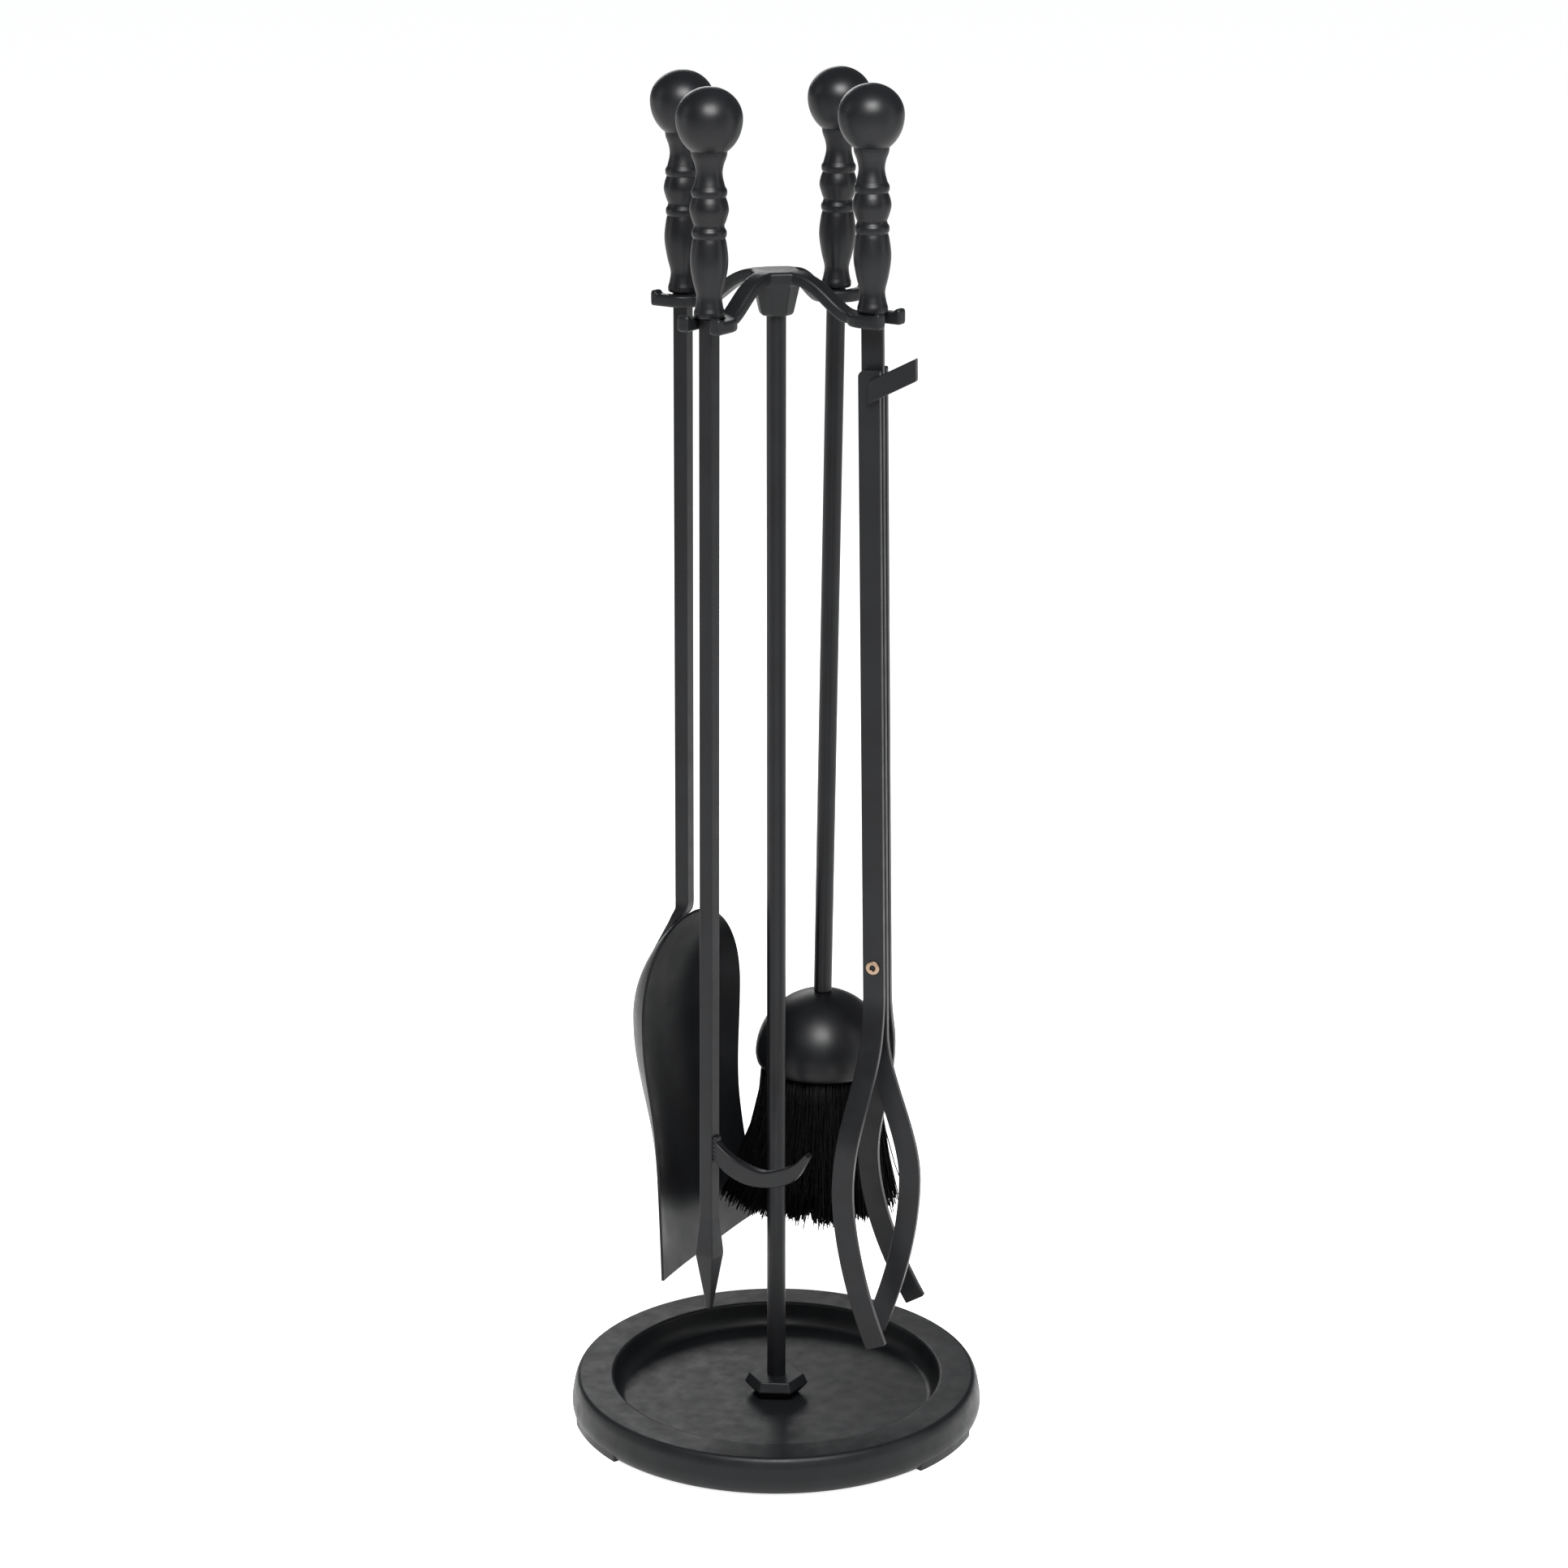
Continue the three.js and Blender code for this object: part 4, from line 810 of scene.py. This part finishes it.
def bristle_paths():
    """Fibre i at share s of its length: root + outward flare s^1.7 + a lazy sideways wave,
    and on the worn side a splay that grows with (root / edge)^2 s^2.2."""
    around = chance.uniform(0, 2 * np.pi, BRISTLE_COUNT)
    root = BRISTLE_ROOT_RADIUS * np.sqrt(chance.uniform(0, 1, BRISTLE_COUNT))
    tuft = 2.2 * np.sin(around * 9 + root * 0.9)
    stray = 5.5 * (chance.uniform(0, 1, BRISTLE_COUNT) > 0.93)
    edge = (root / BRISTLE_ROOT_RADIUS) ** 1.5
    flare = edge * (8.5 + chance.normal(0, 2.0, BRISTLE_COUNT) + tuft + stray)
    length = (BRISTLE_ROOT_Z - BRISTLE_END_Z) + chance.normal(0, 1.6, BRISTLE_COUNT)
    twist = chance.normal(0, 0.09, BRISTLE_COUNT)
    wave = chance.normal(0, 1.2, BRISTLE_COUNT)
    share = np.linspace(0, 1, 5)[None, :]
    radius = root[:, None] + flare[:, None] * share ** 1.7
    angle = around[:, None] + twist[:, None] * share ** 2
    sideways = wave[:, None] * np.sin(share * np.pi) / 30
    x = radius * np.cos(angle + sideways)
    y = radius * np.sin(angle + sideways)
    towards = np.cos(angle - SPLAY_TOWARDS) > 0.35
    splay = SPLAY_REACH * np.cos(angle - SPLAY_TOWARDS) * towards
    splay = splay * (root[:, None] / BRISTLE_ROOT_RADIUS) ** 2 * share ** 2.2
    x += splay * math.cos(SPLAY_TOWARDS)
    y += splay * math.sin(SPLAY_TOWARDS)
    x = np.maximum(x, SHOVEL_AT + PRESSED_SHARE * (x - SHOVEL_AT))
    z = BRISTLE_ROOT_Z + 2 - (length[:, None] + 2) * share + splay * 0.35 - HANG_Z
    return np.stack([x, y, z + 0 * x], axis=-1)


def bristle_mesh(paths):
    """Three corners round each path point, thinner towards the tip, joined into tapers."""
    count, steps = paths.shape[:2]
    thick = np.linspace(0.55, 0.32, steps)[None, :, None]
    turn = chance.uniform(0, 2 * np.pi, count)[:, None, None] + np.arange(3) * 2 * np.pi / 3
    ring = np.stack([thick * np.cos(turn), thick * np.sin(turn), 0 * thick * turn], axis=-1)
    points = paths[:, :, None, :] + ring
    corner = np.arange(count * steps * 3).reshape(count, steps, 3)
    beside = np.roll(corner, -1, axis=2)
    quads = np.stack([corner[:, :-1], corner[:, 1:], beside[:, 1:], beside[:, :-1]], axis=-1)
    ends = np.concatenate([corner[:, 0], corner[:, -1, ::-1]])
    return points.reshape(-1, 3), quads.reshape(-1, 4), ends


def make_bristles():
    """All the fibres as one object, filled with whole arrays."""
    points, quads, ends = bristle_mesh(bristle_paths())
    points = hang(points, "brush") * MM
    mesh = bpy.data.meshes.new("brush_fibres")
    mesh.vertices.add(len(points))
    mesh.vertices.foreach_set("co", points.ravel())
    corners = np.concatenate([quads.ravel(), ends.ravel()])
    mesh.loops.add(len(corners))
    mesh.loops.foreach_set("vertex_index", corners)
    starts = np.concatenate([np.arange(len(quads)) * 4,
                             quads.size + np.arange(len(ends)) * 3])
    mesh.polygons.add(len(starts))
    mesh.polygons.foreach_set("loop_start", starts)
    mesh.update(calc_edges=True)
    mesh.validate()
    mesh.materials.append(fibre)
    brush = bpy.data.objects.new("brush_fibres", mesh)
    bpy.context.scene.collection.objects.link(brush)
    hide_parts("brush_bristles")
    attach(brush, "brush")
    print("bristles", BRISTLE_COUNT, "faces", len(mesh.polygons))


make_bristles()

# %% [markdown]
# ## Tongs
#
# Three flat straps lie on each other and turn on one rivet. The middle one carries the handle
# and ends in a single prong; the outer two are fixed together and end in the other two. Below
# the rivet the outer prongs spread apart, and all three bow out and cross at the tips. The
# lever on the front strap opens them with one finger.

# %% Tongs straps
PRONGS = {
    "middle": {"bow": 17.5, "tip": -3, "tip_z": 64, "side": 0},
    "front": {"bow": -10.5, "tip": 7.5, "tip_z": 67, "side": -1},
    "back": {"bow": -15.5, "tip": 11, "tip_z": 69.5, "side": 1},
}
OUTER_STRAP_AT = STRAP_THICKNESS + STRAP_GAP
CLAW_SPREAD = 31
CLAW_TOP_Z = 236  # where the straps begin to bow
CLAW_BOW_Z = 153
SPREAD_TOP_Z = 258  # where the outer straps begin to part
SPREAD_RUN = 83
LEVER_FOOT_Z = HANG_Z - 45
LEVER_START = 1
LEVER_REACH = 26.2
LEVER_RISE = 12.5
LEVER_WIDTH = 11.6


def claw_middle(z, bow, tip, tip_z, side):
    """Middle line of a strap: bows sideways by a smooth step, then in to the tip."""
    out = bow * smooth_step(CLAW_TOP_Z - z, 0, CLAW_TOP_Z - CLAW_BOW_Z)
    t = np.clip((CLAW_BOW_Z - z) / (CLAW_BOW_Z - tip_z), 0, 1)
    x = np.where(z > CLAW_BOW_Z, out, bow + (tip - bow) * t ** 1.8)
    parted = smooth_step(SPREAD_TOP_Z - z, 0, SPREAD_RUN)
    spread = OUTER_STRAP_AT + (CLAW_SPREAD - OUTER_STRAP_AT) * parted
    return np.stack([x, side * spread, z - HANG_Z], axis=1)


def strap_grid(top_z, prong):
    """A flat strap from its top down to its prong's tip."""
    z = np.concatenate([np.linspace(top_z, 262, 24), np.linspace(259, prong["tip_z"], 90)])
    path = claw_middle(z, **prong)
    return sweep(path, STRAP_WIDTH, STRAP_THICKNESS, 0.6, (1, 0, 0))


def round_top(grid, left, right):
    """Rounds the strap's two top corners: rows near the top are pulled in from each side."""
    steps = 10
    middle = grid[0].mean(axis=0)
    reach = max(left, right)
    depth = reach * (1 - np.cos(np.linspace(0, np.pi / 2, steps)))
    rows = []
    for d in depth:
        row = grid[0].copy()
        row[:, 2] -= d
        for radius, side in ((left, -1), (right, 1)):
            inset = radius - math.sqrt(max(radius ** 2 - max(radius - d, 0) ** 2, 0))
            limit = side * (STRAP_WIDTH / 2 - inset) + middle[0]
            row[:, 0] = np.maximum(row[:, 0], limit) if side < 0 else np.minimum(row[:, 0], limit)
        rows.append(row)
    return np.concatenate([rows, grid[1:]])


def lever_grid():
    """Strap stock with upright sections, rising as it runs out from the front strap."""
    u = np.linspace(LEVER_START, LEVER_REACH, 16)
    rise = LEVER_RISE * (u - LEVER_START) / (LEVER_REACH - LEVER_START)
    z = LEVER_FOOT_Z + LEVER_WIDTH / 2 + rise - HANG_Z
    y = 0 * u - OUTER_STRAP_AT - STRAP_THICKNESS - 0.1
    flat = np.stack([u, y, 0 * z], axis=1)
    grid = sweep(flat, LEVER_WIDTH, STRAP_THICKNESS, 0.6, (0, 0, 1))
    grid[..., 2] += z[:, None]
    return soft_ends(grid, 0.5)


handle_bar = soft_ends(strap_grid(HANG_Z - HANDLE_GAP, PRONGS["middle"]), 0.5)
front_strap = soft_ends(round_top(strap_grid(STRAP_TOP_Z, PRONGS["front"]), 4.1, 1.2), 0.4)
back_strap = soft_ends(round_top(strap_grid(STRAP_TOP_Z, PRONGS["back"]), 4.1, 1.2), 0.4)
make_piece("tongs_handle_strap", [skin(hang(handle_bar, "tongs"))], satin_paint, "tongs",
           ["tongs_handle_bar"])
make_piece("tongs_front_loose_strap", [skin(hang(front_strap, "tongs"))], satin_paint,
           "tongs_loose_arm", ["tongs_front_strap"])
make_piece("tongs_back_loose_strap", [skin(hang(back_strap, "tongs"))], satin_paint,
           "tongs_loose_arm", ["tongs_back_strap"])
make_piece("tongs_finger_lever", [skin(hang(lever_grid(), "tongs"))], satin_paint,
           "tongs_loose_arm", ["tongs_lever"])


# %% [markdown]
# ## The rivet
#
# A short tube through all three straps, with both ends rolled over. The straps are drawn
# whole, without rivet holes, so the tube simply runs through them.

# %% Rivet
RIVET_BORE = 1.5
RIVET_RADIUS = 2.7
RIVET_HEAD_RADIUS = 3.75


def rivet_profile():
    """[r, z, fillet] corners of the tube and its two rolled rims."""
    seat = OUTER_STRAP_AT + STRAP_THICKNESS / 2 + 0.05
    bore, tube, head = RIVET_BORE, RIVET_RADIUS, RIVET_HEAD_RADIUS
    return filleted([[bore, -seat - 1.1, 0.7], [head, -seat - 0.9, 0.7], [head, -seat, 0.2],
                     [tube, -seat, 0.1], [tube, seat, 0.1], [head, seat, 0.2],
                     [head, seat + 0.9, 0.7], [bore, seat + 1.1, 0.7]])


rivet = lathe(rivet_profile(), 48) @ turn_about("x", 90).T + np.array([0, 0, RIVET_Z - HANG_Z])
make_piece("tongs_tube_rivet", [torus_skin(hang(rivet, "tongs"))], rivet_metal,
           "tongs_loose_arm", ["tongs_rivet"], 60)

# %% [markdown]
# ## Pieces that stay as they are
#
# The bolt and washer under the base, the nut and block inside the dome and the spacers on the
# rivet are simple enough already. They only get their finish.

# %% Finish the hidden pieces
HIDDEN = {
    "base_washer": rivet_metal,
    "base_bolt": rivet_metal,
    "brush_nut": rivet_metal,
    "brush_block": beech,
    "tongs_front_spacer": satin_paint,
    "tongs_back_spacer": satin_paint,
}
for name, material in HIDDEN.items():
    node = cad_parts[name]
    node.data.materials.clear()
    node.data.materials.append(material)
print("finished", ", ".join(HIDDEN))

# %% [markdown]
# ## Studio
#
# Black paint shows only what it reflects, so the light is made of large soft panels. A wide
# one over the front draws the long highlights on the knobs and the dome, a tall one on each
# side gives the bars an edge, a weak one behind on the left lifts the rim of the base, and an
# even pale surrounding fills the rest. The floor glows a little, so that it stays white.

# %% Floor, light and camera
CAMERA_DISTANCE = 1.9424  # level distance from the post
CAMERA_HEIGHT = 0.9404
CAMERA_AZIMUTH = math.radians(33.69)
CAMERA_PITCH = math.radians(16.58)


def pale_floor():
    """A wide plain floor that reaches past the picture's edges."""
    mesh = bpy.data.meshes.new("floor")
    half = 30
    mesh.from_pydata([(-half, -half, 0), (half, -half, 0), (half, half, 0), (-half, half, 0)],
                     [], [(0, 1, 2, 3)])
    material, shader = new_material("pale_floor")
    shader.inputs["Base Color"].default_value = linear("#ececec")
    shader.inputs["Roughness"].default_value = 0.9
    shader.inputs["Specular IOR Level"].default_value = 0.2
    shader.inputs["Emission Color"].default_value = linear("#ffffff")
    shader.inputs["Emission Strength"].default_value = 0.86
    mesh.materials.append(material)
    floor = bpy.data.objects.new("floor", mesh)
    bpy.context.scene.collection.objects.link(floor)


def softbox(name, place, aim, size, power, tint="#ffffff"):
    """A rectangular panel of light at place, facing aim."""
    light = bpy.data.lights.new(name, "AREA")
    light.shape = "RECTANGLE"
    light.size, light.size_y = size
    light.energy = power
    light.color = linear(tint)[:3]
    panel = bpy.data.objects.new(name, light)
    panel.location = place
    panel.rotation_euler = (Vector(aim) - Vector(place)).to_track_quat("-Z", "Y").to_euler()
    bpy.context.scene.collection.objects.link(panel)


def surroundings(brightness):
    """Even pale light from everywhere."""
    world = bpy.data.worlds.new("studio")
    world.use_nodes = True
    background = world.node_tree.nodes["Background"]
    background.inputs["Color"].default_value = linear("#f4f6fa")
    background.inputs["Strength"].default_value = brightness
    bpy.context.scene.world = world


def studio_camera():
    """Looks at the post from azimuth 34 degrees, a little from above, with a long lens."""
    lens = bpy.data.cameras.new("camera")
    lens.lens = 87.2
    lens.sensor_width = 36
    lens.shift_x = 0.0049
    lens.shift_y = 0.0007
    camera = bpy.data.objects.new("camera", lens)
    camera.location = (CAMERA_DISTANCE * math.sin(CAMERA_AZIMUTH),
                       -CAMERA_DISTANCE * math.cos(CAMERA_AZIMUTH), CAMERA_HEIGHT)
    camera.rotation_euler = (math.pi / 2 - CAMERA_PITCH, 0, CAMERA_AZIMUTH)
    bpy.context.scene.collection.objects.link(camera)
    bpy.context.scene.camera = camera


pale_floor()
surroundings(0.16)
softbox("front_overhead", (0.75, -0.95, 1.75), (0, 0, 0.35), (0.9, 0.7), 80)
softbox("back_left", (-1.6, 1.7, 1.15), (0, 0, 0.1), (0.9, 0.7), 10)
softbox("left_tall", (-1.5, -0.9, 0.9), (0, 0, 0.4), (0.6, 1.6), 5)
softbox("right_tall", (1.6, 0.5, 0.8), (0, 0, 0.4), (0.5, 1.6), 6)
studio_camera()
bpy.context.scene.view_settings.view_transform = "Standard"
